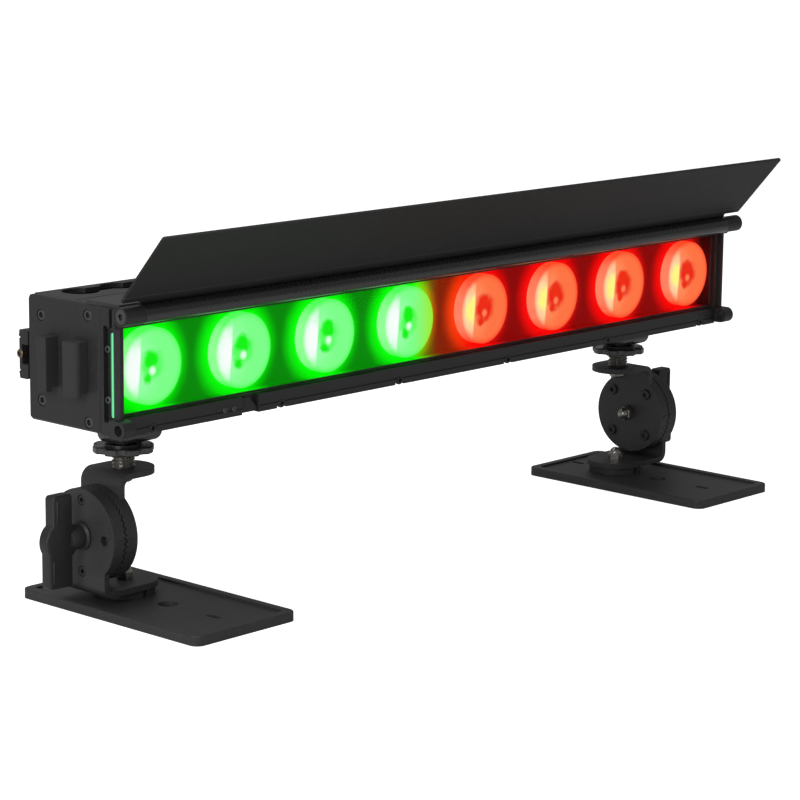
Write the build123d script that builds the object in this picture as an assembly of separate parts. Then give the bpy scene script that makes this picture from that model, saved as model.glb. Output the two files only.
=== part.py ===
from build123d import *
import os
from math import cos, pi, sin

# LED pixel bar on two floor stands, in millimetres.
# X runs along the bar, Y from the window to the rear, Z up.
# The origin is on the floor, midway between the stands and midway along a base plate.

# Window and pixels
PIXEL_COUNT = 8
PIXEL_PITCH = 62.5
LENS_RADIUS = 19.5
LENS_DEPTH = 9.0
LENS_FRONT = 0.4
LENS_SKIRT = 7.5
LENS_EYE_RADIUS = 6.0
LENS_EYE_DEPTH = 5.0
LENS_EYE_FLARE = 1.0
LENS_EYE_RIM = 2.0
EMITTER_SIZE = 12.0
EMITTER_CORNER = 1.0
EMITTER_THICK = 0.9
GLASS_THICK = 3.0
GASKET_THICK = 1.0
GASKET_WIDTH = 1.0
BOARD_THICK = 1.6
TRAY_DEPTH = 12.0
TRAY_RIM = 1.0
TRAY_RECESS = 6.0

# Housing extrusion
BODY_LENGTH = 483.2
BAR_FRONT = -18.93
BAR_DEPTH = 65.9
WINDOW_HEIGHT = 45.3
LIP_BELOW = 8.87
LIP_ABOVE = 9.57
CORNER_RADIUS = 2.5
WEB_THICK = 3.0
WALL = 2.2
SEAT_GAP = 0.3
FIT_GAP = 0.05
CUT_PAST = 1.0
TOP_GROOVE_BACK = 34.0
TOP_GROOVE = 0.8
TOP_GROOVE_DEPTH = 0.6

# Airline track
TRACK_PITCH = 25.4
TRACK_WIDTH = 24.4
TRACK_HEIGHT = 12.0
TRACK_LIP = 2.6
TRACK_FLOOR = 2.4
TRACK_NECK = 10.8
TRACK_OPENING_RADIUS = 9.6
TRACK_CHANNEL = 20.0
TOP_OPENINGS = 18
TOP_FIRST_OPENING = -222.2
BOTTOM_OPENINGS = 18
BOTTOM_RUNOUT = 20.0

# End caps and their bumpers
CAP_THICK = 5.1
CAP_FRONT = 11.6
CAP_EDGE = 1.2
CAP_SCREW_FRONT = 9.0
CAP_SCREW_REAR = 10.2
CAP_SCREW_LOW = 4.6
CAP_SCREW_LOW_REAR = 11.0
CAP_SCREW_HIGH = 5.6
CAP_SCREW_HIGH_REAR = 9.6
CAP_SCREW_RADIUS = 2.9
CAP_SCREW_SEAT = 2.6
CAP_SCREW_SOCKET = 1.6
CAP_SCREW_SOCKET_DEPTH = 1.5
BUMPER_HEIGHT = 27.4
BUMPER_RISE = 8.0
BUMPER_UNDERCUT = 2.0
BUMPER_WEB = 4.5
BUMPER_EDGE = 0.5
FRONT_BUMPER_BACK = 20.4
FRONT_BUMPER_WIDTH = 10.4
FRONT_BUMPER_ROUND = 3.0
REAR_BUMPER_BACK = 42.9
REAR_BUMPER_WIDTH = 7.6

# Door brackets
SIDE_OVERHANG = 2.2
SIDE_EDGE = 1.0
SIDE_LIP_THICK = 2.7
POCKET_DEPTH = 3.0
POCKET_FRONT = 1.3
POCKET_WIDTH = 7.6
POCKET_FRONT_HEIGHT = 43.6
POCKET_REAR_HEIGHT = 49.4
POCKET_DROP = 0.9
POCKET_CORNER = 1.2
LIGHT_SLOT_WIDTH = 2.5
LIGHT_SLOT_HEIGHT = 42.0
LIGHT_SLOT_INSET = 1.5
BRACKET_SCREW_BACK = 6.2
BRACKET_SCREW_SPREAD = 12.6
BRACKET_SCREW_RADIUS = 1.9
BRACKET_SCREW_SOCKET = 1.1
BRACKET_SCREW_SOCKET_DEPTH = 1.4
EAR_RISE = 2.6
EAR_DEPTH = 4.6
EAR_HEIGHT = 9.5
EAR_SLIT = 2.2
LOWER_EAR_RADIUS = 4.4
LOWER_EAR_HOLE = 2.75
LOWER_EAR_FORWARD = 4.1

# Barn door flap
TUBE_RADIUS = 4.8
TUBE_BORE = 3.0
TUBE_FORWARD = 7.4
TUBE_UP = 29.5
TUBE_INSET = 4.3
BARREL_PROUD = 1.1
SEAM_GAP = 0.3
PIN_REACH = 16.0
PIN_HEAD_RADIUS = 3.8
PIN_HEAD_LENGTH = 3.0
PIN_SOCKET = 1.7
PIN_SOCKET_DEPTH = 1.9
FLAP_HEIGHT = 46.0
FLAP_THICK = 1.5
FLAP_OFFSET = 3.37
FLAP_START = 6.1
FLAP_ANGLE = 131.4
FLAP_CORNER = 1.0

# Top plate and bottom rail
TOP_PLATE_THICK = 2.0
TOP_PLATE_DEPTH = 24.0
TOP_PLATE_FORWARD = 1.8
TOP_PLATE_INSET = 1.0
RAIL_THICK = 3.0
RAIL_DROP = 0.8
RAIL_GROOVE = 0.8
RAIL_GROOVE_DEPTH = 0.5
RAIL_GROOVE_UP = 3.1
RAIL_GAP_START = -161.3
RAIL_GAP_WIDTH = 11.8
NOTCH_RADIUS = 3.4
NOTCH_PITCH = 89.95
NOTCH_FIRST = -222.8
NOTCH_COUNT = 6
RAIL_SCREW_SPACING = 6.4
RAIL_SCREW_INSET = 5.7
RAIL_SCREW_UP = 3.5
RAIL_SCREW_RADIUS = 1.6
RAIL_SCREW_PROUD = 0.5
CATCH_INSET = 1.0
CATCH_TOE = 2.0

# Stand, from the floor up
STAND_PITCHES = 8
PLATE_WIDTH = 69.5
PLATE_DEPTH = 132.5
PLATE_THICK = 5.2
PLATE_CORNER = 5.0
PLATE_EDGE = 0.8
PLATE_RIM = 5.0
PANEL_RECESS = 1.2
SWIVEL_Y = 24.9
PLATE_HOLE_Y = -8.0
PLATE_HOLE_RADIUS = 5.3
FRONT_SLOT_Y = -41.8
REAR_SLOT_Y = 54.2
PLATE_SLOT_LENGTH = 9.0
PLATE_SLOT_RADIUS = 1.8
SPACER_THICK = 4.3
SPACER_RADIUS = 15.8
SPACER_EDGE = 0.6
SPACER_NOTCH = 3.0
SHEET = 3.2
FLANGE_BEND = 7.0
FLANGE_REACH = 16.2
FLANGE_HALF_WIDTH = 15.0
FOOT_BEND = 5.8
FOOT_REACH = 17.6
FOOT_HALF_WIDTH = 17.0
LEG_RISE = 30.6
DISC_RADIUS = 24.5
FLANGE_RISE = 28.3
STUD_RADIUS = 6.0
STUD_SHANK_RADIUS = 4.0
STUD_HEAD_RADIUS = 5.2
STUD_HEAD_HEIGHT = 3.6
STUD_HEAD_ROUND = 2.4
STUD_SHOW = 8.0
WASHER_RADIUS = 6.6
WASHER_THICK = 1.0
KNOB_LOBE_HEIGHT = 3.6
KNOB_COLLAR_HEIGHT = 0.9
KNOB_COLLAR_RADIUS = 9.5
KNOB_RADIUS = 15.9
KNOB_LOBES = 8
KNOB_SCALLOP_RADIUS = 3.4
KNOB_SCALLOP_OUT = 1.3
KNOB_ROUND = 1.0
KNOB_EDGE = 0.5
FITTING_HEIGHT = 14.75
FITTING_WIDTH = 20.0
FITTING_INBOARD = 11.0
FITTING_REACH = 20.0
FITTING_CORNER = 5.0
FITTING_ROUND = 4.0
FITTING_STUD_RADIUS = 8.3
FITTING_STUD_THICK = 3.5
FITTING_NECK_RADIUS = 5.0

# Ratchet, outward from the stand axis
LEG_OUT = 12.6
UPPER_DISC_THICK = 4.8
LOWER_DISC_THICK = 4.8
TOOTH_COUNT = 48
TOOTH_HEIGHT = 0.9
TOOTH_SHARE = 0.5
TOOTH_INNER_RADIUS = 13.0
RIDGE_WIDTH = 1.2
RIDGE_PROUD = 0.5
BOLT_RADIUS = 2.5
DISC_SCREW_SPREAD = 12.8
DISC_SCREW_RADIUS = 3.2
DISC_SCREW_PROUD = 1.8
LEG_SCREW_SPREAD = 18.6
LEG_SCREW_RADIUS = 2.8
LEG_SCREW_DEPTH = 1.6
INDEX_HOLE_Y = 17.0
INDEX_HOLE_RADIUS = 2.6
DOME_FLATS = 8.0
DOME_HEIGHT = 10.0
DOME_WAIST_SHARE = 0.55
DOME_BALL_SHARE = 0.92
SWIVEL_NUT_HEIGHT = 6.5
SWIVEL_HEAD = 2.2
BOLT_HOLD = 4.0

# Wing handle
HANDLE_NECK_RADIUS = 6.2
HANDLE_BORE_LENGTH = 8.0
WING_START = 8.8
WING_WIDTH = 12.4
WING_LOWER_WIDTH = 15.0
WING_SPAN = 47.9
WING_THICK = 7.0
WING_CORNER = 2.0
HUB_RADIUS = 10.5
HUB_PROUD = 1.7

# Control panel on the rear
PANEL_LENGTH = 132.0
PANEL_HEIGHT = 30.0
PANEL_THICK = 2.4
PANEL_X = 60.0
PANEL_LEDGE = 3.0
PANEL_CORNER = 3.0
PANEL_EDGE = 0.8
DISPLAY_HEIGHT = 14.0
DISPLAY_MARGIN = 9.0
DISPLAY_FLANGE = 2.0
DISPLAY_FLANGE_THICK = 1.0
DISPLAY_SINK = 0.6
DISPLAY_CORNER = 1.0
BUTTON_COUNT = 4
BUTTON_RADIUS = 3.6
BUTTON_PITCH = 12.0
BUTTON_MARGIN = 10.75
BUTTON_PROUD = 1.4
BUTTON_TRAVEL = 0.8
BUTTON_FLANGE = 1.0
BUTTON_FLANGE_OUT = 1.2
BUTTON_EDGE = 0.7
KEYPAD_THICK = 1.5
KEYPAD_HEIGHT = 14.0
KEYPAD_WALL = 1.2
KEYPAD_CORNER = 2.0
INLET_MARGIN = 4.5
INLET_RADIUS = 11.5
INLET_DEPTH = 24.0
INLET_PROUD = 1.2
INLET_WALL = 1.8
INLET_FLOOR = 4.0
INLET_CORE_RADIUS = 5.0
INLET_CORE_SINK = 4.0

# Rear eye lugs
LUG_LENGTH = 18.0
LUG_DEPTH = 6.6
LUG_HEIGHT = 25.0
LUG_UP = 1.0
LUG_CORNER = 1.0
LUG_EYE_HEIGHT = 10.0
LUG_EYE_DEPTH = 4.6
LUG_GROOVE_SPREAD = 8.5
LUG_GROOVE = 1.0
LUG_GROOVE_DEPTH = 0.8
LUG_PIN_RADIUS = 4.0
LUG_PIN_PROUD = 1.6

# Power and drive
BATTERY_LENGTH = 250.0
BATTERY_HEIGHT = 30.0
BATTERY_X = -95.0
BATTERY_CORNER = 4.0
BATTERY_BACK = 2.0
BATTERY_REAR_GAP = 5.1
DRIVER_LENGTH = 150.0
DRIVER_X = 140.0

# Heights and depths that follow from the sizes above
PANEL_TOP = PLATE_THICK - PANEL_RECESS
SPACER_TOP = PANEL_TOP + SPACER_THICK
FOOT_TOP = SPACER_TOP + SHEET
TILT_Z = SPACER_TOP + LEG_RISE
FLANGE_UNDER = TILT_Z + FLANGE_RISE
FLANGE_TOP = FLANGE_UNDER + SHEET
KNOB_UNDER = FLANGE_TOP + STUD_SHOW
KNOB_TOP = KNOB_UNDER + KNOB_LOBE_HEIGHT + KNOB_COLLAR_HEIGHT
FITTING_UNDER = KNOB_TOP + SEAT_GAP
BAR_UNDER = FITTING_UNDER + FITTING_HEIGHT + SEAT_GAP
MID_Z = BAR_UNDER + LIP_BELOW + WINDOW_HEIGHT / 2
BAR_TOP = MID_Z + WINDOW_HEIGHT / 2 + LIP_ABOVE
BAR_REAR = BAR_FRONT + BAR_DEPTH
STAND_X = STAND_PITCHES * TRACK_PITCH
BODY_END = BODY_LENGTH / 2
CAP_END = BODY_END + CAP_THICK
EAR_END = CAP_END + EAR_RISE
BARREL_END = EAR_END + BARREL_PROUD
TUBE_END = BODY_END - TUBE_INSET
SIDE_FRONT = BAR_FRONT - SIDE_OVERHANG
CAP_Y = BAR_FRONT + CAP_FRONT
TUBE_Y = BAR_FRONT - TUBE_FORWARD
TUBE_Z = MID_Z + TUBE_UP
TOP_TRACK_Y = BAR_REAR - TRACK_WIDTH / 2
GASKET_Y = BAR_FRONT + GLASS_THICK
TRAY_Y = GASKET_Y + GASKET_THICK
EMITTER_Y = TRAY_Y + TRAY_DEPTH - EMITTER_THICK
BOARD_Y = TRAY_Y + TRAY_DEPTH
WEB_Y = BOARD_Y + BOARD_THICK
CAVITY_Y = WEB_Y + WEB_THICK
CAVITY_REAR = BAR_REAR - WALL
CAVITY_LOW = BAR_UNDER + TRACK_HEIGHT + WALL
CAVITY_HIGH = BAR_TOP - TRACK_HEIGHT - WALL
PANEL_INNER = BAR_REAR - PANEL_THICK / 2
PANEL_OUTER = PANEL_INNER + PANEL_THICK
INLET_X = PANEL_X + PANEL_LENGTH / 2 - INLET_MARGIN - INLET_RADIUS
BUTTON_LAST_X = INLET_X - INLET_RADIUS - BUTTON_MARGIN
BUTTON_FIRST_X = BUTTON_LAST_X - (BUTTON_COUNT - 1) * BUTTON_PITCH
DISPLAY_START = PANEL_X - PANEL_LENGTH / 2 + DISPLAY_MARGIN
DISPLAY_LENGTH = BUTTON_FIRST_X - BUTTON_MARGIN - DISPLAY_START
DISPLAY_X = DISPLAY_START + DISPLAY_LENGTH / 2
BATTERY_Y = CAVITY_Y + BATTERY_BACK
BATTERY_DEPTH = CAVITY_REAR - BATTERY_REAR_GAP - BATTERY_Y
LEG_FACE = LEG_OUT + SHEET
PARTING = LEG_FACE + UPPER_DISC_THICK
FOOT_LEG_FACE = PARTING + LOWER_DISC_THICK
LEG_END = FOOT_LEG_FACE + SHEET


def along_x(face, start, end):
    return extrude(Plane.YZ.offset(start) * face, end - start)


def along_z(face, start, end):
    return extrude(Plane.XY.offset(start) * face, end - start)


def along_y(face, start, end):
    return extrude(Plane.XZ.offset(-start) * face, start - end)


def span(y_low, y_high, z_low, z_high):
    """Rectangle between two depths and two heights, for along_x."""
    size = Rectangle(y_high - y_low, z_high - z_low)
    return Pos((y_low + y_high) / 2, (z_low + z_high) / 2) * size


def rod_x(y, z, radius, start, end):
    return along_x(Pos(y, z) * Circle(radius), start, end)


def rod_y(x, z, radius, start, end):
    return along_y(Pos(x, z) * Circle(radius), start, end)


def rod_z(x, y, radius, start, end):
    return along_z(Pos(x, y) * Circle(radius), start, end)


def flipped(shape):
    return mirror(shape, Plane.YZ)


def write(name, shape):
    export_step(shape, f"parts/{name}.step")


def write_group(name, solids):
    write(name, Compound(children=solids))


def pixel_x(index):
    return (index - (PIXEL_COUNT - 1) / 2) * PIXEL_PITCH


# Housing: one hollow extrusion with a window pocket in front and a seat for each track
def housing():
    outline = span(BAR_FRONT, BAR_REAR, BAR_UNDER, BAR_TOP)
    outline = fillet(outline.vertices().group_by(Axis.X)[-1], CORNER_RADIUS)
    window_low = MID_Z - WINDOW_HEIGHT / 2
    window = span(BAR_FRONT, WEB_Y, window_low, MID_Z + WINDOW_HEIGHT / 2)
    cavity = span(CAVITY_Y, CAVITY_REAR, CAVITY_LOW, CAVITY_HIGH)
    top_front = TOP_TRACK_Y - TRACK_WIDTH / 2
    top_seat = span(top_front, BAR_REAR + WALL, BAR_TOP - TRACK_HEIGHT, BAR_TOP + WALL)
    low_front = SWIVEL_Y - TRACK_WIDTH / 2
    bottom_seat = span(low_front, low_front + TRACK_WIDTH, BAR_UNDER - WALL, BAR_UNDER + TRACK_HEIGHT)
    front_cell = span(CAVITY_Y + WALL, top_front - WALL, CAVITY_HIGH + WALL, BAR_TOP - WALL)
    low_cell = span(CAVITY_Y, low_front - WALL, BAR_UNDER + WALL, CAVITY_LOW - WALL)
    rail_seat = span(BAR_FRONT - WALL, BAR_FRONT + RAIL_THICK, BAR_UNDER - WALL, window_low)
    groove_y = BAR_FRONT + TOP_GROOVE_BACK
    groove = span(groove_y, groove_y + TOP_GROOVE, BAR_TOP - TOP_GROOVE_DEPTH, BAR_TOP + WALL)
    profile = outline - window - rail_seat - cavity - top_seat - bottom_seat
    profile = profile - front_cell - low_cell - groove
    body = along_x(profile, -BODY_END, BODY_END)
    hole = Rectangle(PANEL_LENGTH - 2 * PANEL_LEDGE, PANEL_HEIGHT - 2 * PANEL_LEDGE)
    body -= along_y(Pos(PANEL_X, MID_Z) * hole, CAVITY_REAR - WALL, BAR_REAR + WALL)
    seat = RectangleRounded(PANEL_LENGTH + 2 * FIT_GAP, PANEL_HEIGHT + 2 * FIT_GAP, PANEL_CORNER)
    return body - along_y(Pos(PANEL_X, MID_Z) * seat, PANEL_INNER, BAR_REAR + WALL)


# Airline track: a channel whose lips are scalloped by round openings at one pitch
def airline_track(first_opening, openings, runout):
    strip = span(-TRACK_WIDTH / 2, TRACK_WIDTH / 2, -TRACK_HEIGHT, 0)
    channel = span(-TRACK_CHANNEL / 2, TRACK_CHANNEL / 2, TRACK_FLOOR - TRACK_HEIGHT, -TRACK_LIP)
    neck = span(-TRACK_NECK / 2, TRACK_NECK / 2, -TRACK_LIP - CUT_PAST, CUT_PAST)
    track = along_x(strip - channel, -BODY_END, BODY_END)
    last_opening = first_opening + (openings - 1) * TRACK_PITCH
    slot = along_x(neck, first_opening - runout, last_opening + runout)
    for index in range(openings):
        x = first_opening + index * TRACK_PITCH
        slot += rod_z(x, 0, TRACK_OPENING_RADIUS, -TRACK_LIP - CUT_PAST, CUT_PAST)
    return track - slot


# Board, emitters, lens tray, lenses, gasket and glass, from the web forward
def light_engine():
    half = WINDOW_HEIGHT / 2 - SEAT_GAP
    length = BODY_END - SEAT_GAP
    write("led_board", along_x(span(BOARD_Y, WEB_Y, MID_Z - half, MID_Z + half), -length, length))
    emitters = []
    lenses = []
    window = Pos(0, MID_Z) * Rectangle(2 * length, 2 * half)
    tray = along_y(window, TRAY_Y, BOARD_Y)
    sunk = Pos(0, MID_Z) * Rectangle(2 * (length - TRAY_RIM), 2 * (half - TRAY_RIM))
    tray -= along_y(sunk, TRAY_Y - CUT_PAST, TRAY_Y + TRAY_RECESS)
    for index in range(PIXEL_COUNT):
        x = pixel_x(index)
        chip = Pos(x, MID_Z) * RectangleRounded(EMITTER_SIZE, EMITTER_SIZE, EMITTER_CORNER)
        emitters.append(along_y(chip, EMITTER_Y, BOARD_Y))
        tray -= rod_y(x, MID_Z, LENS_RADIUS + FIT_GAP, TRAY_Y - CUT_PAST, BOARD_Y + CUT_PAST)
        lenses.append(Pos(x, TRAY_Y, MID_Z) * lens())
    write_group("led_emitters", emitters)
    write("lens_tray", tray)
    write_group("lenses", lenses)
    inside = Pos(0, MID_Z) * Rectangle(2 * (length - GASKET_WIDTH), 2 * (half - GASKET_WIDTH))
    write("window_gasket", along_y(window - inside, GASKET_Y, TRAY_Y))
    write("front_glass", along_y(window, BAR_FRONT, GASKET_Y))


# Lens: a flat face on a straight skirt, and a cup over the emitter
def lens():
    with BuildSketch() as half_section:
        with BuildLine():
            Polyline(
                (0, LENS_DEPTH - LENS_EYE_DEPTH),
                (LENS_EYE_RADIUS, LENS_DEPTH - LENS_EYE_DEPTH),
                (LENS_EYE_RADIUS + LENS_EYE_FLARE, LENS_DEPTH),
                (LENS_EYE_RADIUS + LENS_EYE_FLARE + LENS_EYE_RIM, LENS_DEPTH),
                (LENS_RADIUS, LENS_SKIRT),
                (LENS_RADIUS, LENS_FRONT),
                (0, LENS_FRONT),
                close=True,
            )
        make_face()
    return revolve(half_section.sketch, Axis.Y)


def cap_outline():
    outline = span(CAP_Y, BAR_REAR, BAR_UNDER, BAR_TOP)
    return fillet(outline.vertices().group_by(Axis.X)[-1], CORNER_RADIUS)


def cap_screw_places():
    front = CAP_Y + CAP_SCREW_FRONT
    rear = BAR_REAR - CAP_SCREW_REAR
    return [
        (front, BAR_UNDER + CAP_SCREW_LOW),
        (rear, BAR_UNDER + CAP_SCREW_LOW_REAR),
        (rear, BAR_TOP - CAP_SCREW_HIGH_REAR),
        (front, BAR_TOP - CAP_SCREW_HIGH),
    ]


# Right end cap with a soft edge and countersinks for four screws
def end_cap():
    cap = along_x(cap_outline(), BODY_END, CAP_END)
    cap = chamfer(cap.faces().sort_by(Axis.X)[-1].edges(), CAP_EDGE)
    for y, z in cap_screw_places():
        cap -= rod_x(y, z, CAP_SCREW_RADIUS + 2 * FIT_GAP, CAP_END - CAP_SCREW_SEAT, CAP_END + CUT_PAST)
    return cap


def cap_screws():
    screws = []
    for y, z in cap_screw_places():
        head = rod_x(y, z, CAP_SCREW_RADIUS, CAP_END - CAP_SCREW_SEAT, CAP_END - SEAT_GAP)
        hexagon = Pos(y, z) * RegularPolygon(CAP_SCREW_SOCKET, 6)
        socket = along_x(hexagon, CAP_END - SEAT_GAP - CAP_SCREW_SOCKET_DEPTH, CAP_END)
        screws.append(head - socket)
    return screws


# Rubber bumpers: a block that overhangs its own foot, and the front one is round on its leading edge
def end_bumpers():
    low = MID_Z - BUMPER_HEIGHT / 2
    pads = []
    for back, width, leading in (
        (FRONT_BUMPER_BACK, FRONT_BUMPER_WIDTH, FRONT_BUMPER_ROUND),
        (REAR_BUMPER_BACK, REAR_BUMPER_WIDTH, BUMPER_EDGE),
    ):
        front = BAR_FRONT + back
        pad = along_x(
            span(front, front + width, low, low + BUMPER_HEIGHT), CAP_END, CAP_END + BUMPER_RISE
        )
        pad -= along_x(
            span(front - CUT_PAST, front + width + CUT_PAST, low - CUT_PAST, low + BUMPER_UNDERCUT),
            CAP_END - CUT_PAST,
            CAP_END + BUMPER_WEB,
        )
        outer = pad.faces().sort_by(Axis.X)[-1].edges()
        pad = fillet(outer.sort_by(Axis.Y)[0], leading)
        outer = pad.faces().sort_by(Axis.X)[-1].edges()
        pads.append(chamfer(outer.sort_by(Axis.Y)[-1], BUMPER_EDGE))
    return pads


# Right door bracket: side plate with pocket, light slot, two ears and the fixed hinge barrel
def door_bracket():
    plate = along_x(span(SIDE_FRONT, CAP_Y, BAR_UNDER, BAR_TOP), BODY_END, CAP_END)
    plate = chamfer(plate.edges().filter_by(Axis.Z).sort_by(Axis.X)[-2:], SIDE_EDGE)
    plate -= along_x(
        span(SIDE_FRONT - CUT_PAST, BAR_FRONT, BAR_UNDER + 2 * LOWER_EAR_RADIUS, BAR_TOP - EAR_HEIGHT),
        BODY_END - CUT_PAST,
        CAP_END - SIDE_LIP_THICK,
    )
    pocket_y = BAR_FRONT + POCKET_FRONT
    pocket_z = MID_Z - POCKET_DROP
    pocket = make_face(
        Polyline(
            (pocket_y, pocket_z - POCKET_FRONT_HEIGHT / 2),
            (pocket_y + POCKET_WIDTH, pocket_z - POCKET_REAR_HEIGHT / 2),
            (pocket_y + POCKET_WIDTH, pocket_z + POCKET_REAR_HEIGHT / 2),
            (pocket_y, pocket_z + POCKET_FRONT_HEIGHT / 2),
            close=True,
        )
    )
    pocket = fillet(pocket.vertices(), POCKET_CORNER)
    plate -= along_x(pocket, CAP_END - POCKET_DEPTH, EAR_END)
    slot_y = BAR_FRONT + LIGHT_SLOT_INSET
    slot = span(
        slot_y, slot_y + LIGHT_SLOT_WIDTH, pocket_z - LIGHT_SLOT_HEIGHT / 2, pocket_z + LIGHT_SLOT_HEIGHT / 2
    )
    plate -= along_x(slot, BODY_END - CUT_PAST, CAP_END)
    ear = span(SIDE_FRONT, SIDE_FRONT + EAR_DEPTH, BAR_TOP - EAR_HEIGHT, BAR_TOP)
    plate += along_x(ear, BODY_END, EAR_END)
    arm = span(TUBE_Y, SIDE_FRONT, TUBE_Z - TUBE_RADIUS, BAR_TOP)
    plate += along_x(arm, BODY_END, CAP_END)
    plate += rod_x(TUBE_Y, TUBE_Z, TUBE_RADIUS, TUBE_END, BARREL_END)
    slit_y = TUBE_Y + TUBE_RADIUS + EAR_SLIT
    slit = span(slit_y, slit_y + EAR_SLIT, BAR_TOP - EAR_HEIGHT, BAR_TOP + CUT_PAST)
    plate -= along_x(slit, CAP_END, EAR_END + CUT_PAST)
    low_y, low_z = lower_ear_place()
    lobe = Pos(low_y, low_z) * Circle(LOWER_EAR_RADIUS)
    lobe += span(low_y, SIDE_FRONT + EAR_DEPTH, BAR_UNDER, low_z + LOWER_EAR_RADIUS)
    plate += along_x(lobe, BODY_END, EAR_END)
    plate -= rod_x(low_y, low_z, LOWER_EAR_HOLE, BODY_END - CUT_PAST, EAR_END + CUT_PAST)
    plate -= rod_x(TUBE_Y, TUBE_Z, TUBE_BORE, TUBE_END - CUT_PAST, BARREL_END + CUT_PAST)
    counterbore = PIN_HEAD_RADIUS + 2 * FIT_GAP
    plate -= rod_x(TUBE_Y, TUBE_Z, counterbore, BARREL_END - PIN_HEAD_LENGTH, BARREL_END + CUT_PAST)
    return plate


def lower_ear_place():
    return BAR_FRONT - LOWER_EAR_FORWARD, BAR_UNDER + LOWER_EAR_RADIUS


def bracket_screws():
    screws = []
    y = BAR_FRONT + BRACKET_SCREW_BACK
    for rise in (BRACKET_SCREW_SPREAD, -BRACKET_SCREW_SPREAD):
        z = MID_Z - POCKET_DROP + rise
        head = rod_x(y, z, BRACKET_SCREW_RADIUS, CAP_END - POCKET_DEPTH, CAP_END)
        hexagon = Pos(y, z) * RegularPolygon(BRACKET_SCREW_SOCKET, 6)
        screws.append(head - along_x(hexagon, CAP_END - BRACKET_SCREW_SOCKET_DEPTH, CAP_END + CUT_PAST))
    return screws


# Hinge pin: a socket head in the barrel and a shank that the tube turns on
def hinge_pin():
    head_start = BARREL_END - PIN_HEAD_LENGTH
    head_end = BARREL_END - SEAM_GAP
    pin = rod_x(TUBE_Y, TUBE_Z, TUBE_BORE - FIT_GAP, TUBE_END - PIN_REACH, head_start)
    pin += rod_x(TUBE_Y, TUBE_Z, PIN_HEAD_RADIUS, head_start, head_end)
    socket = Pos(TUBE_Y, TUBE_Z) * RegularPolygon(PIN_SOCKET, 6)
    return pin - along_x(socket, head_end - PIN_SOCKET_DEPTH, BARREL_END)


# Flap sheet, tangent to the back of its tube, in a frame that turns with the tube
def flap_frame():
    return Pos(0, TUBE_Y, TUBE_Z) * Rot(FLAP_ANGLE - 90, 0, 0)


def hinge_tube():
    ring = Circle(TUBE_RADIUS) - Circle(TUBE_BORE)
    half = TUBE_END - SEAM_GAP
    return Pos(0, TUBE_Y, TUBE_Z) * along_x(ring, -half, half)


def flap():
    half = TUBE_END - SEAM_GAP
    tongue = along_x(span(FLAP_OFFSET, FLAP_OFFSET + FLAP_THICK, 0, FLAP_START), -half, half)
    tongue -= rod_x(0, 0, TUBE_RADIUS, -BODY_END, BODY_END)
    middle = FLAP_START + FLAP_HEIGHT / 2
    panel = Pos(0, middle) * RectangleRounded(2 * BARREL_END, FLAP_HEIGHT, FLAP_CORNER)
    sheet = along_y(panel, FLAP_OFFSET, FLAP_OFFSET + FLAP_THICK)
    return flap_frame() * (tongue + sheet)


def top_plate():
    y = BAR_FRONT - TOP_PLATE_FORWARD + TOP_PLATE_DEPTH / 2
    face = Pos(0, y) * Rectangle(2 * (CAP_END - TOP_PLATE_INSET), TOP_PLATE_DEPTH)
    return along_z(face, BAR_TOP, BAR_TOP + TOP_PLATE_THICK)


# Bottom rail: two lengths with half-round finger notches, either side of the catch block
def notch_places():
    return [NOTCH_FIRST + index * NOTCH_PITCH for index in range(NOTCH_COUNT)]


def rail_length(start, end):
    top = MID_Z - WINDOW_HEIGHT / 2 - SEAT_GAP
    under = BAR_UNDER - RAIL_DROP
    groove_z = under + RAIL_GROOVE_UP
    groove = span(BAR_FRONT - CUT_PAST, BAR_FRONT + RAIL_GROOVE_DEPTH, groove_z, groove_z + RAIL_GROOVE)
    rail = along_x(span(BAR_FRONT, BAR_FRONT + RAIL_THICK, under, top) - groove, start, end)
    for x in notch_places():
        if start < x < end:
            rail -= rod_y(x, under, NOTCH_RADIUS, BAR_FRONT - CUT_PAST, BAR_FRONT + RAIL_THICK + CUT_PAST)
    return rail


def catch_block():
    top = MID_Z - WINDOW_HEIGHT / 2 - SEAT_GAP - CATCH_INSET
    start = RAIL_GAP_START + SEAT_GAP
    end = RAIL_GAP_START + RAIL_GAP_WIDTH - SEAT_GAP
    wedge = make_face(
        Polyline(
            (start, top),
            ((start + end) / 2, top),
            (end, BAR_UNDER + CATCH_TOE),
            (end, BAR_UNDER),
            (start, BAR_UNDER),
            close=True,
        )
    )
    return along_y(wedge, BAR_FRONT + CATCH_INSET, BAR_FRONT + RAIL_THICK)


def rail_screws():
    screws = []
    for index in range(2):
        x = RAIL_GAP_START - RAIL_SCREW_INSET - index * RAIL_SCREW_SPACING
        z = BAR_UNDER + RAIL_SCREW_UP
        screws.append(rod_y(x, z, RAIL_SCREW_RADIUS, BAR_FRONT - RAIL_SCREW_PROUD, BAR_FRONT))
    return screws


# Rear eye lug with the pin across its back
def eye_lug():
    middle = MID_Z + LUG_UP
    back = BAR_REAR + LUG_DEPTH
    outer = Pos(BAR_REAR + LUG_DEPTH / 2, middle) * RectangleRounded(LUG_DEPTH, LUG_HEIGHT, LUG_CORNER)
    eye = Pos(BAR_REAR + LUG_EYE_DEPTH / 2, middle) * Rectangle(LUG_EYE_DEPTH, LUG_EYE_HEIGHT)
    profile = outer - eye
    for rise in (LUG_GROOVE_SPREAD, -LUG_GROOVE_SPREAD):
        profile -= Pos(back, middle + rise) * Rectangle(2 * LUG_GROOVE_DEPTH, LUG_GROOVE)
    return along_x(profile, CAP_END - LUG_LENGTH, CAP_END)


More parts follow.
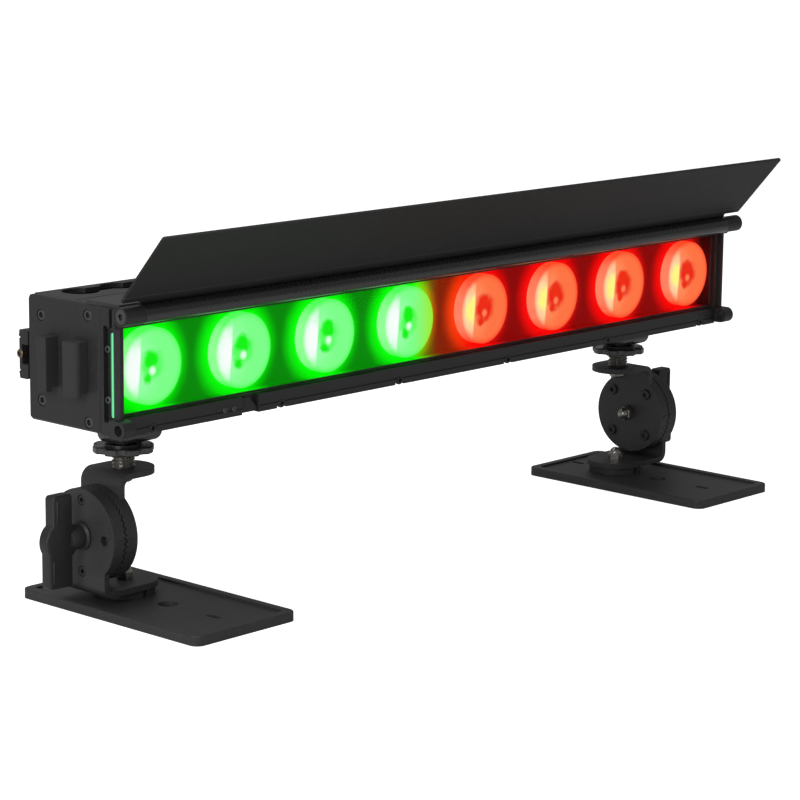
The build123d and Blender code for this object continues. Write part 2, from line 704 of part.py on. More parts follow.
def lug_pin():
    back = BAR_REAR + LUG_DEPTH
    return rod_y(CAP_END - LUG_LENGTH / 2, MID_Z + LUG_UP, LUG_PIN_RADIUS, back, back + LUG_PIN_PROUD)


# Rear control panel with display, inlet, buttons and their mat.
# The buttons stand before the inlet, and the display takes the room that is left.
def button_x(index):
    return BUTTON_FIRST_X + index * BUTTON_PITCH


def display_outline(gap):
    size = RectangleRounded(DISPLAY_LENGTH - 2 * gap, DISPLAY_HEIGHT - 2 * gap, DISPLAY_CORNER)
    return Pos(DISPLAY_X, MID_Z) * size


def control_panel():
    plate = Pos(PANEL_X, MID_Z) * RectangleRounded(PANEL_LENGTH, PANEL_HEIGHT, PANEL_CORNER)
    panel = along_y(plate, PANEL_INNER, PANEL_OUTER)
    panel = fillet(panel.faces().sort_by(Axis.Y)[-1].edges(), PANEL_EDGE)
    panel -= along_y(display_outline(0), PANEL_INNER - CUT_PAST, PANEL_OUTER + CUT_PAST)
    for index in range(BUTTON_COUNT):
        hole_radius = BUTTON_RADIUS + SEAT_GAP
        panel -= rod_y(button_x(index), MID_Z, hole_radius, PANEL_INNER - CUT_PAST, PANEL_OUTER + CUT_PAST)
    inlet_radius = INLET_RADIUS + FIT_GAP
    return panel - rod_y(INLET_X, MID_Z, inlet_radius, PANEL_INNER - CUT_PAST, PANEL_OUTER + CUT_PAST)


def display_window():
    window = along_y(display_outline(FIT_GAP), PANEL_INNER, PANEL_OUTER - DISPLAY_SINK)
    flange = Rectangle(DISPLAY_LENGTH + 2 * DISPLAY_FLANGE, DISPLAY_HEIGHT + 2 * DISPLAY_FLANGE)
    flange = Pos(DISPLAY_X, MID_Z) * flange
    return window + along_y(flange, PANEL_INNER - DISPLAY_FLANGE_THICK, PANEL_INNER)


def button(index):
    x = button_x(index)
    cap = rod_y(x, MID_Z, BUTTON_RADIUS, PANEL_INNER - BUTTON_FLANGE, PANEL_OUTER + BUTTON_PROUD)
    cap = fillet(cap.faces().sort_by(Axis.Y)[-1].edges(), BUTTON_EDGE)
    back = PANEL_INNER - FIT_GAP
    return cap + rod_y(x, MID_Z, BUTTON_RADIUS + BUTTON_FLANGE_OUT, back - BUTTON_FLANGE, back)


def keypad_mat():
    front = PANEL_INNER - FIT_GAP - BUTTON_FLANGE - BUTTON_TRAVEL - SEAT_GAP
    length = (BUTTON_COUNT - 1) * BUTTON_PITCH + KEYPAD_HEIGHT
    place = Pos((button_x(0) + button_x(BUTTON_COUNT - 1)) / 2, MID_Z)
    outline = place * RectangleRounded(length, KEYPAD_HEIGHT, KEYPAD_CORNER)
    well = place * Rectangle(length - 2 * KEYPAD_WALL, KEYPAD_HEIGHT - 2 * KEYPAD_WALL)
    return along_y(outline, front - KEYPAD_THICK, PANEL_INNER) - along_y(well, front, BAR_REAR)


# Round locking power inlet: a cup with a keyed core
def power_inlet():
    inner = PANEL_OUTER - INLET_DEPTH
    cup = rod_y(INLET_X, MID_Z, INLET_RADIUS, inner, PANEL_OUTER + INLET_PROUD)
    cup -= rod_y(
        INLET_X, MID_Z, INLET_RADIUS - INLET_WALL, inner + INLET_FLOOR, PANEL_OUTER + 2 * INLET_PROUD
    )
    return cup + rod_y(INLET_X, MID_Z, INLET_CORE_RADIUS, inner + INLET_WALL, PANEL_OUTER - INLET_CORE_SINK)


# Base plate: rounded, with a raised rim round a sunk panel
def base_plate():
    plate = along_z(RectangleRounded(PLATE_WIDTH, PLATE_DEPTH, PLATE_CORNER), 0, PLATE_THICK)
    plate = fillet(plate.faces().sort_by(Axis.Z)[-1].edges(), PLATE_EDGE)
    sunk = RectangleRounded(PLATE_WIDTH - 2 * PLATE_RIM, PLATE_DEPTH - 2 * PLATE_RIM, PLATE_CORNER / 2)
    plate -= along_z(sunk, PANEL_TOP, PLATE_THICK + CUT_PAST)
    plate -= rod_z(0, PLATE_HOLE_Y, PLATE_HOLE_RADIUS, -CUT_PAST, PLATE_THICK)
    for y in (FRONT_SLOT_Y, REAR_SLOT_Y):
        slot = SlotOverall(PLATE_SLOT_LENGTH, 2 * PLATE_SLOT_RADIUS, rotation=90)
        plate -= along_z(Pos(0, y) * slot, -CUT_PAST, PLATE_THICK)
    plate -= rod_z(0, SWIVEL_Y, BOLT_RADIUS + FIT_GAP, -CUT_PAST, PLATE_THICK)
    return plate - rod_z(0, SWIVEL_Y, 2 * BOLT_RADIUS, -CUT_PAST, SWIVEL_HEAD)


# Spacer with a pointer notch in its front
def spacer_disc():
    disc = rod_z(0, SWIVEL_Y, SPACER_RADIUS, PANEL_TOP + FIT_GAP, SPACER_TOP)
    disc = chamfer(disc.edges().sort_by(Axis.Z)[-1], SPACER_EDGE)
    notch = Pos(0, SWIVEL_Y - SPACER_RADIUS) * Rectangle(SPACER_NOTCH, SPACER_NOTCH)
    disc -= along_z(notch, PANEL_TOP, SPACER_TOP + CUT_PAST)
    return disc - rod_z(0, SWIVEL_Y, BOLT_RADIUS + FIT_GAP, 0, SPACER_TOP + CUT_PAST)


# Dome nut: a hexagon that ends in a ball
def dome_nut(height, bore):
    apothem = DOME_FLATS / 2
    waist = DOME_WAIST_SHARE * height
    hexagon = extrude(RegularPolygon(apothem, 6, major_radius=False), waist)
    dome = Pos(0, 0, waist) * Sphere(DOME_BALL_SHARE * apothem)
    dome &= Pos(0, 0, waist) * Cylinder(DOME_FLATS, 2 * waist)
    return hexagon + dome - Cylinder(bore, 2 * BOLT_HOLD)


def swivel_bolt():
    bolt = rod_z(0, SWIVEL_Y, BOLT_RADIUS, SEAT_GAP, FOOT_TOP + BOLT_HOLD)
    bolt += rod_z(0, SWIVEL_Y, 2 * (BOLT_RADIUS - FIT_GAP), SEAT_GAP, SWIVEL_HEAD - FIT_GAP)
    nut = Pos(0, SWIVEL_Y, FOOT_TOP) * dome_nut(SWIVEL_NUT_HEIGHT, BOLT_RADIUS)
    return [bolt, nut]


# L bracket: a flange with a rounded tip, a bend, and a leg with a round end at the tilt axis
def angle_sheet(inner_face, fold_z, reach, half_width, bend, side):
    outer_face = inner_face + SHEET
    far = TILT_Z + side * DISC_RADIUS
    outline = make_face(
        Polyline(
            (-reach, fold_z),
            (outer_face, fold_z),
            (outer_face, far),
            (inner_face, far),
            (inner_face, fold_z + side * SHEET),
            (-reach, fold_z + side * SHEET),
            close=True,
        )
    )
    corner = outline.vertices().sort_by_distance((outer_face, fold_z))[0]
    outline = fillet(corner, bend)
    inside = outline.vertices().sort_by_distance((inner_face, fold_z + side * SHEET))[0]
    outline = fillet(inside, bend - SHEET)
    sheet = along_y(outline, SWIVEL_Y - DISC_RADIUS, SWIVEL_Y + DISC_RADIUS)
    tip_x = half_width - reach
    plan = Pos(tip_x, SWIVEL_Y) * Circle(half_width)
    plan += Pos(tip_x + outer_face, SWIVEL_Y) * Rectangle(2 * outer_face, 2 * half_width)
    plan += Pos(outer_face, SWIVEL_Y) * Rectangle(2 * SHEET, 2 * DISC_RADIUS)
    front = Pos(SWIVEL_Y, TILT_Z) * Circle(DISC_RADIUS)
    front += Pos(SWIVEL_Y, (TILT_Z + fold_z) / 2) * Rectangle(2 * half_width, abs(TILT_Z - fold_z))
    sheet &= along_z(plan, 0, BAR_UNDER)
    sheet &= along_x(front, -reach, outer_face)
    return sheet


def upper_bracket():
    sheet = angle_sheet(LEG_OUT, FLANGE_TOP, FLANGE_REACH, FLANGE_HALF_WIDTH, FLANGE_BEND, -1)
    shank = STUD_SHANK_RADIUS + FIT_GAP
    sheet -= rod_z(0, SWIVEL_Y, shank, FLANGE_UNDER - CUT_PAST, FLANGE_TOP + CUT_PAST)
    return sheet - rod_x(SWIVEL_Y, TILT_Z, BOLT_RADIUS + FIT_GAP, 0, LEG_FACE + CUT_PAST)


def lower_bracket():
    sheet = angle_sheet(FOOT_LEG_FACE, SPACER_TOP, FOOT_REACH, FOOT_HALF_WIDTH, FOOT_BEND, 1)
    bolt = BOLT_RADIUS + FIT_GAP
    start = FOOT_LEG_FACE - CUT_PAST
    end = LEG_END + CUT_PAST
    sheet -= rod_z(0, SWIVEL_Y, bolt, SPACER_TOP - CUT_PAST, FOOT_TOP + CUT_PAST)
    sheet -= rod_x(SWIVEL_Y, TILT_Z, bolt, start, end)
    sheet -= rod_x(SWIVEL_Y - INDEX_HOLE_Y, TILT_Z, INDEX_HOLE_RADIUS, start, end)
    for rise in (-LEG_SCREW_SPREAD, LEG_SCREW_SPREAD):
        sheet -= rod_x(SWIVEL_Y, TILT_Z + rise, LEG_SCREW_RADIUS, LEG_END - LEG_SCREW_DEPTH, end)
    return sheet


# Ratchet discs: radial face teeth, one disc's half a step round from the other's, and a small
# ridge front and back. They stand as they do with the wing handle loosened, tip to tip.
def tooth_gaps(start, phase):
    step = 2 * pi / TOOTH_COUNT
    outer_radius = DISC_RADIUS + CUT_PAST
    gaps = []
    for index in range(TOOTH_COUNT):
        low = (index + phase - TOOTH_SHARE / 2) * step
        high = (index + phase + TOOTH_SHARE / 2) * step
        wedge = make_face(
            Polyline(
                (TOOTH_INNER_RADIUS * cos(low), TOOTH_INNER_RADIUS * sin(low)),
                (outer_radius * cos(low), outer_radius * sin(low)),
                (outer_radius * cos(high), outer_radius * sin(high)),
                (TOOTH_INNER_RADIUS * cos(high), TOOTH_INNER_RADIUS * sin(high)),
                close=True,
            )
        )
        gaps.append(Pos(0, SWIVEL_Y, TILT_Z) * along_x(wedge, start, start + TOOTH_HEIGHT))
    return gaps


def ratchet_disc(start, end, tooth_start, ridge_start, phase):
    disc = rod_x(SWIVEL_Y, TILT_Z, DISC_RADIUS, start, end)
    ridge_end = ridge_start + end - start - TOOTH_HEIGHT
    for side in (-1, 1):
        place = Pos(SWIVEL_Y + side * DISC_RADIUS, TILT_Z)
        disc += along_x(place * Rectangle(2 * RIDGE_PROUD, RIDGE_WIDTH), ridge_start, ridge_end)
    disc -= tooth_gaps(tooth_start, phase)
    return disc - rod_x(SWIVEL_Y, TILT_Z, BOLT_RADIUS + FIT_GAP, start - CUT_PAST, end + CUT_PAST)


def upper_disc():
    end = PARTING - FIT_GAP
    return ratchet_disc(LEG_FACE, end, end - TOOTH_HEIGHT, LEG_FACE, 0)


def lower_disc():
    start = PARTING + FIT_GAP
    return ratchet_disc(start, FOOT_LEG_FACE, start, start + TOOTH_HEIGHT, TOOTH_SHARE)


def tilt_bolt():
    end = LEG_END + HANDLE_BORE_LENGTH - SEAT_GAP
    bolt = rod_x(SWIVEL_Y, TILT_Z, BOLT_RADIUS, LEG_OUT - BOLT_HOLD, end)
    nut = Pos(LEG_OUT, SWIVEL_Y, TILT_Z) * Rot(0, -90, 0) * dome_nut(DOME_HEIGHT, BOLT_RADIUS)
    solids = [bolt, nut]
    for y in (SWIVEL_Y - DISC_SCREW_SPREAD, SWIVEL_Y + DISC_SCREW_SPREAD):
        for z in (TILT_Z - DISC_SCREW_SPREAD, TILT_Z + DISC_SCREW_SPREAD):
            solids.append(rod_x(y, z, DISC_SCREW_RADIUS, LEG_OUT - DISC_SCREW_PROUD, LEG_OUT))
    return solids


# Wing handle: a flat grip whose lower wing is the wider, a bulge at the hub, and a round neck
def wing_handle():
    start = LEG_END + FIT_GAP
    inner = start + WING_START
    grip = span(inner, inner + WING_WIDTH, TILT_Z, TILT_Z + WING_SPAN / 2)
    grip += span(inner, inner + WING_LOWER_WIDTH, TILT_Z - WING_SPAN / 2, TILT_Z)
    grip += Pos(inner + WING_LOWER_WIDTH + HUB_PROUD - HUB_RADIUS, TILT_Z) * Circle(HUB_RADIUS)
    tips = grip.vertices().group_by(Axis.Y)
    grip = fillet([*tips[0], *tips[-1]], WING_CORNER)
    handle = along_y(grip, SWIVEL_Y - WING_THICK / 2, SWIVEL_Y + WING_THICK / 2)
    handle += rod_x(SWIVEL_Y, TILT_Z, HANDLE_NECK_RADIUS, start, inner + CUT_PAST)
    bore_end = LEG_END + HANDLE_BORE_LENGTH
    return handle - rod_x(SWIVEL_Y, TILT_Z, BOLT_RADIUS + FIT_GAP, start - CUT_PAST, bore_end)


# Threaded stud held in the flange by a button head and a washer
def stud():
    washer_under = FLANGE_UNDER - WASHER_THICK
    head = rod_z(0, SWIVEL_Y, STUD_HEAD_RADIUS, washer_under - STUD_HEAD_HEIGHT, washer_under)
    head = fillet(head.edges().sort_by(Axis.Z)[0], STUD_HEAD_ROUND)
    bolt = head + rod_z(0, SWIVEL_Y, STUD_SHANK_RADIUS, washer_under, FLANGE_TOP)
    bolt += rod_z(0, SWIVEL_Y, STUD_RADIUS, FLANGE_TOP, FITTING_UNDER)
    washer = rod_z(0, SWIVEL_Y, WASHER_RADIUS, washer_under, FLANGE_UNDER)
    return [bolt, washer - rod_z(0, SWIVEL_Y, STUD_SHANK_RADIUS, 0, FLANGE_TOP)]


# Star knob: a disc scalloped between its lobes, under a plain collar
def star_knob():
    knob = Circle(KNOB_RADIUS)
    reach = KNOB_RADIUS + KNOB_SCALLOP_OUT
    for index in range(KNOB_LOBES):
        angle = 2 * pi * index / KNOB_LOBES
        knob -= Pos(reach * cos(angle), reach * sin(angle)) * Circle(KNOB_SCALLOP_RADIUS)
    knob = fillet(knob.vertices(), KNOB_ROUND)
    lobes_top = KNOB_UNDER + KNOB_LOBE_HEIGHT
    solid = along_z(Pos(0, SWIVEL_Y) * knob, KNOB_UNDER, lobes_top)
    solid = chamfer(solid.faces().sort_by(Axis.Z)[0].edges(), KNOB_EDGE)
    solid = chamfer(solid.faces().sort_by(Axis.Z)[-1].edges(), KNOB_EDGE)
    solid += rod_z(0, SWIVEL_Y, KNOB_COLLAR_RADIUS, lobes_top, KNOB_TOP)
    return solid - rod_z(0, SWIVEL_Y, STUD_RADIUS + FIT_GAP, KNOB_UNDER - CUT_PAST, KNOB_TOP + CUT_PAST)


# Track fitting: a block under the track, a mushroom stud under its lips and a plunger in an opening
def track_fitting():
    top = FITTING_UNDER + FITTING_HEIGHT
    side = span(-FITTING_INBOARD, FITTING_REACH, FITTING_UNDER, top)
    block = along_y(side, SWIVEL_Y - FITTING_WIDTH / 2, SWIVEL_Y + FITTING_WIDTH / 2)
    block = fillet(block.edges().filter_by(Axis.Y).group_by(Axis.Z)[0], FITTING_CORNER)
    block = fillet(block.edges().filter_by(Axis.Z), FITTING_ROUND)
    head_under = BAR_UNDER + TRACK_LIP + SEAT_GAP
    head_top = head_under + FITTING_STUD_THICK
    block += rod_z(0, SWIVEL_Y, FITTING_NECK_RADIUS, top, head_under)
    block += rod_z(0, SWIVEL_Y, FITTING_STUD_RADIUS, head_under, head_top)
    return block + rod_z(TRACK_PITCH / 2, SWIVEL_Y, FITTING_NECK_RADIUS, top, head_top)


def write_housing():
    write("housing", housing())
    write("top_track", Pos(0, TOP_TRACK_Y, BAR_TOP) * airline_track(TOP_FIRST_OPENING, TOP_OPENINGS, 0))
    first = -(BOTTOM_OPENINGS - 1) / 2 * TRACK_PITCH
    under = airline_track(first, BOTTOM_OPENINGS, BOTTOM_RUNOUT)
    write("bottom_track", Pos(0, SWIVEL_Y, BAR_UNDER) * Rot(180, 0, 0) * under)
    for name, shape in (("end_cap", end_cap()), ("door_bracket", door_bracket())):
        write(f"right_{name}", shape)
        write(f"left_{name}", flipped(shape))
    groups = {
        "end_cap_screws": cap_screws(),
        "end_bumpers": end_bumpers(),
        "bracket_screws": bracket_screws(),
        "hinge_pins": [hinge_pin()],
        "eye_lugs": [eye_lug()],
        "lug_pins": [lug_pin()],
    }
    for name, solids in groups.items():
        write_group(name, solids + [flipped(solid) for solid in solids])
    write("top_plate", top_plate())
    write("bottom_rail", rail_length(RAIL_GAP_START + RAIL_GAP_WIDTH, BODY_END))
    write("bottom_rail_short", rail_length(-BODY_END, RAIL_GAP_START))
    write("catch_block", catch_block())
    write_group("rail_screws", rail_screws())


def write_power():
    battery = RectangleRounded(BATTERY_DEPTH, BATTERY_HEIGHT, BATTERY_CORNER)
    place = Pos(BATTERY_Y + BATTERY_DEPTH / 2, CAVITY_LOW + BATTERY_HEIGHT / 2)
    start = BATTERY_X - BATTERY_LENGTH / 2
    write("battery_pack", along_x(place * battery, start, start + BATTERY_LENGTH))
    start = DRIVER_X - DRIVER_LENGTH / 2
    board = span(CAVITY_Y, CAVITY_Y + BOARD_THICK, CAVITY_LOW + SEAT_GAP, CAVITY_HIGH - SEAT_GAP)
    write("driver_board", along_x(board, start, start + DRIVER_LENGTH))


def write_controls():
    write("control_panel", control_panel())
    write("display_window", display_window())
    write("keypad_mat", keypad_mat())
    write("power_inlet", power_inlet())
    for index in range(BUTTON_COUNT):
        write(f"button_{index + 1}", button(index))


def write_stands():
    single = {
        "base_plate": base_plate(),
        "spacer_disc": spacer_disc(),
        "lower_bracket": lower_bracket(),
        "lower_disc": lower_disc(),
        "upper_disc": upper_disc(),
        "upper_bracket": upper_bracket(),
        "wing_handle": wing_handle(),
        "star_knob": star_knob(),
    }
    for name, shape in single.items():
        write(f"right_{name}", Pos(STAND_X, 0, 0) * shape)
        write(f"left_{name}", flipped(Pos(STAND_X, 0, 0) * shape))
    groups = {"swivel_bolt": swivel_bolt(), "tilt_bolt": tilt_bolt(), "stud": stud()}
    for name, solids in groups.items():
        write_group(f"right_{name}", [Pos(STAND_X, 0, 0) * solid for solid in solids])
        write_group(f"left_{name}", [flipped(Pos(STAND_X, 0, 0) * solid) for solid in solids])
    write("right_track_fitting", Pos(STAND_X, 0, 0) * track_fitting())
    write("left_track_fitting", Pos(-STAND_X, 0, 0) * track_fitting())


os.makedirs("parts", exist_ok=True)
write_housing()
light_engine()
write("hinge_tube", hinge_tube())
write("flap", flap())
write_power()
write_controls()
write_stands()
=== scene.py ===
import math

import bmesh
import bpy
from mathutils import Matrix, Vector


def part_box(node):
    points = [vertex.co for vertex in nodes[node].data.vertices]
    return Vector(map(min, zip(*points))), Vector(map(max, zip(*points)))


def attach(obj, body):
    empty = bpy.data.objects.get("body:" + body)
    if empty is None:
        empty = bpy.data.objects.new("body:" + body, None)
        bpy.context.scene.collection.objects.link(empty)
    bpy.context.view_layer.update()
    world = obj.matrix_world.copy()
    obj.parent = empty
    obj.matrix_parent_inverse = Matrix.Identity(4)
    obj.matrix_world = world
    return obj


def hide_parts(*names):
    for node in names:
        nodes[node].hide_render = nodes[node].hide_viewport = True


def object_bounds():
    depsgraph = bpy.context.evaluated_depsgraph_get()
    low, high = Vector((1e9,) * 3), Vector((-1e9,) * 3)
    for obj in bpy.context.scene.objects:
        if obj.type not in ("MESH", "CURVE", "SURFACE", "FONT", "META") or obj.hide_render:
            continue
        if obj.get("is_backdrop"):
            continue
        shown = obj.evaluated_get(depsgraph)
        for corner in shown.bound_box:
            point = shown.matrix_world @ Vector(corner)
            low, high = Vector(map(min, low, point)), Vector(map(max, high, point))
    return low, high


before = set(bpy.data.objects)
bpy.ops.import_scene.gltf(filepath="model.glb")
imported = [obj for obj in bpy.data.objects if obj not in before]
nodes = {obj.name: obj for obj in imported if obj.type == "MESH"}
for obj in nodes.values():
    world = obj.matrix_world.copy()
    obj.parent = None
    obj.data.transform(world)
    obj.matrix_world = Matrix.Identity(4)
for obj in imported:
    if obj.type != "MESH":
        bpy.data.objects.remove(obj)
cad_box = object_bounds()
MM = 0.001


# Studio
# A white floor and a white surround, one broad soft lamp overhead and a smaller one at the left.
# The camera stands to the left of the bar, a little above it, with a long lens.
CAMERA_PLACE = (-1.1402, -1.0265, 0.3857)
CAMERA_TURN = (78.73, -0.61, -47.33)
CAMERA_LENS = 126.4
SURROUND_LIGHT = 0.25
FLOOR_COLOUR = (0.8, 0.8, 0.8, 1.0)
FLOOR_GLOW = 0.83
FLOOR_HALF = 6.0
SENSOR_WIDTH = 36.0
LAMP_AIM = Vector((0.0, 0.0, 0.1))
# Name, place, width and height in metres, and power in watts.
SOFTBOXES = (
    ("overhead", (0.0, 0.1, 1.3), 1.6, 1.2, 9.5),
    ("left_fill", (-1.4, -0.3, 0.6), 0.8, 0.8, 9.0),
)


def link_socket(tree, source, socket):
    """Feeds a socket from a plain value or from another node's socket."""
    if isinstance(source, bpy.types.NodeSocket):
        tree.links.new(source, socket)
    else:
        socket.default_value = source


def maths(tree, operation, *values):
    """One Math node: a value may be a number or another node's socket."""
    node = tree.nodes.new("ShaderNodeMath")
    node.operation = operation
    for socket, value in zip(node.inputs, values):
        link_socket(tree, value, socket)
    return node.outputs[0]


def seen_directly(tree):
    """1 for what the camera or a clear pane shows, and 0 for the light that falls on things."""
    path = tree.nodes.new("ShaderNodeLightPath").outputs
    return maths(tree, "MAXIMUM", path["Is Camera Ray"], path["Is Transmission Ray"])


def surround():
    world = bpy.data.worlds.new("studio")
    world.use_nodes = True
    tree = world.node_tree
    strength = maths(tree, "MAXIMUM", seen_directly(tree), SURROUND_LIGHT)
    background = tree.nodes["Background"]
    background.inputs["Color"].default_value = (1.0, 1.0, 1.0, 1.0)
    tree.links.new(strength, background.inputs["Strength"])
    bpy.context.scene.world = world


def floor():
    mesh = bpy.data.meshes.new("studio_floor")
    quarters = ((-1, -1), (1, -1), (1, 1), (-1, 1))
    corners = [(x * FLOOR_HALF, y * FLOOR_HALF, 0.0) for x, y in quarters]
    mesh.from_pydata(corners, [], [(0, 1, 2, 3)])
    plane = bpy.data.objects.new("studio_floor", mesh)
    bpy.context.scene.collection.objects.link(plane)
    material = bpy.data.materials.new("studio_floor")
    material.use_nodes = True
    tree = material.node_tree
    paper = tree.nodes["Principled BSDF"]
    paper.inputs["Base Color"].default_value = FLOOR_COLOUR
    paper.inputs["Roughness"].default_value = 0.9
    paper.inputs["Specular IOR Level"].default_value = 0.0
    paper.inputs["Emission Color"].default_value = (1.0, 1.0, 1.0, 1.0)
    glow = maths(tree, "MULTIPLY", seen_directly(tree), FLOOR_GLOW)
    tree.links.new(glow, paper.inputs["Emission Strength"])
    mesh.materials.append(material)
    plane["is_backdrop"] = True


def softbox(name, place, width, height, power):
    """A rectangular area lamp that points at the middle of the bar."""
    lamp = bpy.data.lights.new(name, "AREA")
    lamp.shape = "RECTANGLE"
    lamp.size = width
    lamp.size_y = height
    lamp.energy = power
    holder = bpy.data.objects.new(name, lamp)
    holder.location = place
    holder.rotation_euler = (LAMP_AIM - Vector(place)).to_track_quat("-Z", "Y").to_euler()
    bpy.context.scene.collection.objects.link(holder)


def camera():
    body = bpy.data.cameras.new("camera")
    body.lens = CAMERA_LENS
    body.sensor_width = SENSOR_WIDTH
    holder = bpy.data.objects.new("camera", body)
    holder.location = CAMERA_PLACE
    holder.rotation_euler = [math.radians(angle) for angle in CAMERA_TURN]
    bpy.context.scene.collection.objects.link(holder)
    bpy.context.scene.camera = holder


bpy.context.scene.view_settings.view_transform = "Standard"
surround()
floor()
for softbox_row in SOFTBOXES:
    softbox(*softbox_row)
camera()


# Housing
# An extruded aluminium body, anodised black, with the two airline tracks and a thin top plate.
# Anodising is even and satin, with a grain too fine to see, and bare edges catch the light.
HOUSING_COLOUR = (0.017, 0.017, 0.0175, 1.0)
EDGE_RADIUS = 0.4 * MM
CLOUD_SIZE = 40 * MM
CLOUD_TONES = (0.8, 1.25)
SPECK_TONE = 1.5
GLOSS_SPREAD = 0.06
GRAIN_STRENGTH = 0.6


def new_material(name):
    material = bpy.data.materials.new(name)
    material.use_nodes = True
    return material, material.node_tree, material.node_tree.nodes["Principled BSDF"]


def noise(tree, size, detail=2.0):
    """Noise between 0 and 1, with patches of about this size in metres."""
    place = tree.nodes.new("ShaderNodeTexCoord").outputs["Object"]
    node = tree.nodes.new("ShaderNodeTexNoise")
    node.inputs["Scale"].default_value = 1.0 / size
    node.inputs["Detail"].default_value = detail
    tree.links.new(place, node.inputs["Vector"])
    return node.outputs["Fac"]


def ease(tree, value, start, end, low=0.0, high=1.0):
    """Goes smoothly from low to high while value goes from start to end."""
    node = tree.nodes.new("ShaderNodeMapRange")
    node.interpolation_type = "SMOOTHSTEP"
    tree.links.new(value, node.inputs["Value"])
    numbers = (("From Min", start), ("From Max", end), ("To Min", low), ("To Max", high))
    for name, number in numbers:
        node.inputs[name].default_value = number
    return node.outputs["Result"]


def between(tree, share, first, second):
    """The colour that lies this share of the way from first to second."""
    node = tree.nodes.new("ShaderNodeMix")
    node.data_type = "RGBA"
    for index, value in ((0, share), (6, first), (7, second)):
        link_socket(tree, value, node.inputs[index])
    return node.outputs[2]


def scaled(colour, factor):
    return tuple(channel * factor for channel in colour[:3]) + (1.0,)


def coating(name, colour, roughness, specular, grain, depth, metallic=0.0, edge=EDGE_RADIUS):
    """A dark coat or moulding: slightly uneven tone and gloss, a fine grain, and soft edges."""
    material, tree, surface = new_material(name)
    cloud = noise(tree, CLOUD_SIZE)
    speck = noise(tree, grain, 3.0)
    dark, light = CLOUD_TONES
    tone = between(tree, cloud, scaled(colour, dark), scaled(colour, light))
    tone = between(tree, ease(tree, speck, 0.35, 0.7), tone, scaled(colour, SPECK_TONE))
    tree.links.new(tone, surface.inputs["Base Color"])
    gloss = ease(tree, speck, 0.3, 0.7, roughness - GLOSS_SPREAD, roughness + GLOSS_SPREAD)
    tree.links.new(gloss, surface.inputs["Roughness"])
    surface.inputs["Specular IOR Level"].default_value = specular
    surface.inputs["Metallic"].default_value = metallic
    soft_edge = tree.nodes.new("ShaderNodeBevel")
    soft_edge.samples = 4
    soft_edge.inputs["Radius"].default_value = edge
    bump = tree.nodes.new("ShaderNodeBump")
    bump.inputs["Distance"].default_value = depth
    bump.inputs["Strength"].default_value = GRAIN_STRENGTH
    tree.links.new(speck, bump.inputs["Height"])
    tree.links.new(soft_edge.outputs["Normal"], bump.inputs["Normal"])
    tree.links.new(bump.outputs["Normal"], surface.inputs["Normal"])
    return material


def dress(material, *names):
    """Gives a finish to CAD nodes whose shape stays as it is."""
    for name in names:
        slots = nodes[name].data.materials
        slots.clear()
        slots.append(material)


anodised = coating("black_anodised", HOUSING_COLOUR, 0.42, 0.35, 0.5 * MM, 0.02 * MM)
dress(anodised, "housing", "top_track", "bottom_track", "bottom_rail", "bottom_rail_short")
polished = coating("glossy_anodised", HOUSING_COLOUR, 0.24, 0.5, 0.5 * MM, 0.01 * MM)
dress(polished, "hinge_tube")
# The top plate's coat is the anodising painted 1.6 times lighter: painted light from the lamp
# overhead on its top face.
lit_top_coat = coating("top_plate_coat", scaled(HOUSING_COLOUR, 1.6), 0.55, 0.4, 0.6 * MM, 0.03 * MM)
dress(lit_top_coat, "top_plate")


# End caps and door brackets
# Machined aluminium plates with a fine black powder coat, screwed to the ends of the housing.
# The coat has a slight orange peel and is duller than the anodised body.
PLATE_COLOUR = (0.019, 0.019, 0.019, 1.0)

powder = coating("black_powder_coat", PLATE_COLOUR, 0.5, 0.35, 0.8 * MM, 0.05 * MM)
dress(powder, "left_end_cap", "right_end_cap", "left_door_bracket", "right_door_bracket")
dress(powder, "catch_block", "eye_lugs")


# Flap
# Folded aluminium sheet with the same coat, a little duller in gloss and painted a shade darker as
# painted shade for its side that faces forward and down. A fold runs along it just above the hinge
# tube, with a lighter line painted on it as a painted highlight on the bend.
FOLD_UP = 6.2 * MM
FOLD_HALF = 0.45 * MM
FOLD_HIGHLIGHT_TONE = 2.6


def flap_coat():
    material = coating("flap_coat", scaled(PLATE_COLOUR, 0.8), 0.58, 0.28, 0.8 * MM, 0.04 * MM)
    tree = material.node_tree
    surface = tree.nodes["Principled BSDF"]
    parts = tree.nodes.new("ShaderNodeSeparateXYZ")
    tree.links.new(tree.nodes.new("ShaderNodeTexCoord").outputs["Object"], parts.inputs[0])
    from_fold = maths(tree, "SUBTRACT", parts.outputs["Z"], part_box("flap")[0].z + FOLD_UP)
    # A lighter band painted along the fold: a painted highlight.
    line = ease(tree, maths(tree, "ABSOLUTE", from_fold), 0.0, FOLD_HALF, 1.0, 0.0)
    coat = surface.inputs["Base Color"].links[0].from_socket
    tone = between(tree, line, coat, scaled(PLATE_COLOUR, FOLD_HIGHLIGHT_TONE))
    tree.links.new(tone, surface.inputs["Base Color"])
    return material


dress(flap_coat(), "flap")


# Bumpers
# Two pads of black rubber on each end cap, dull and slightly dusty. The window's gasket and the
# mat under the buttons are of the same rubber.
rubber = coating("black_rubber", (0.03, 0.03, 0.03, 1.0), 0.75, 0.25, 0.4 * MM, 0.04 * MM)
dress(rubber, "end_bumpers", "window_gasket", "keypad_mat")


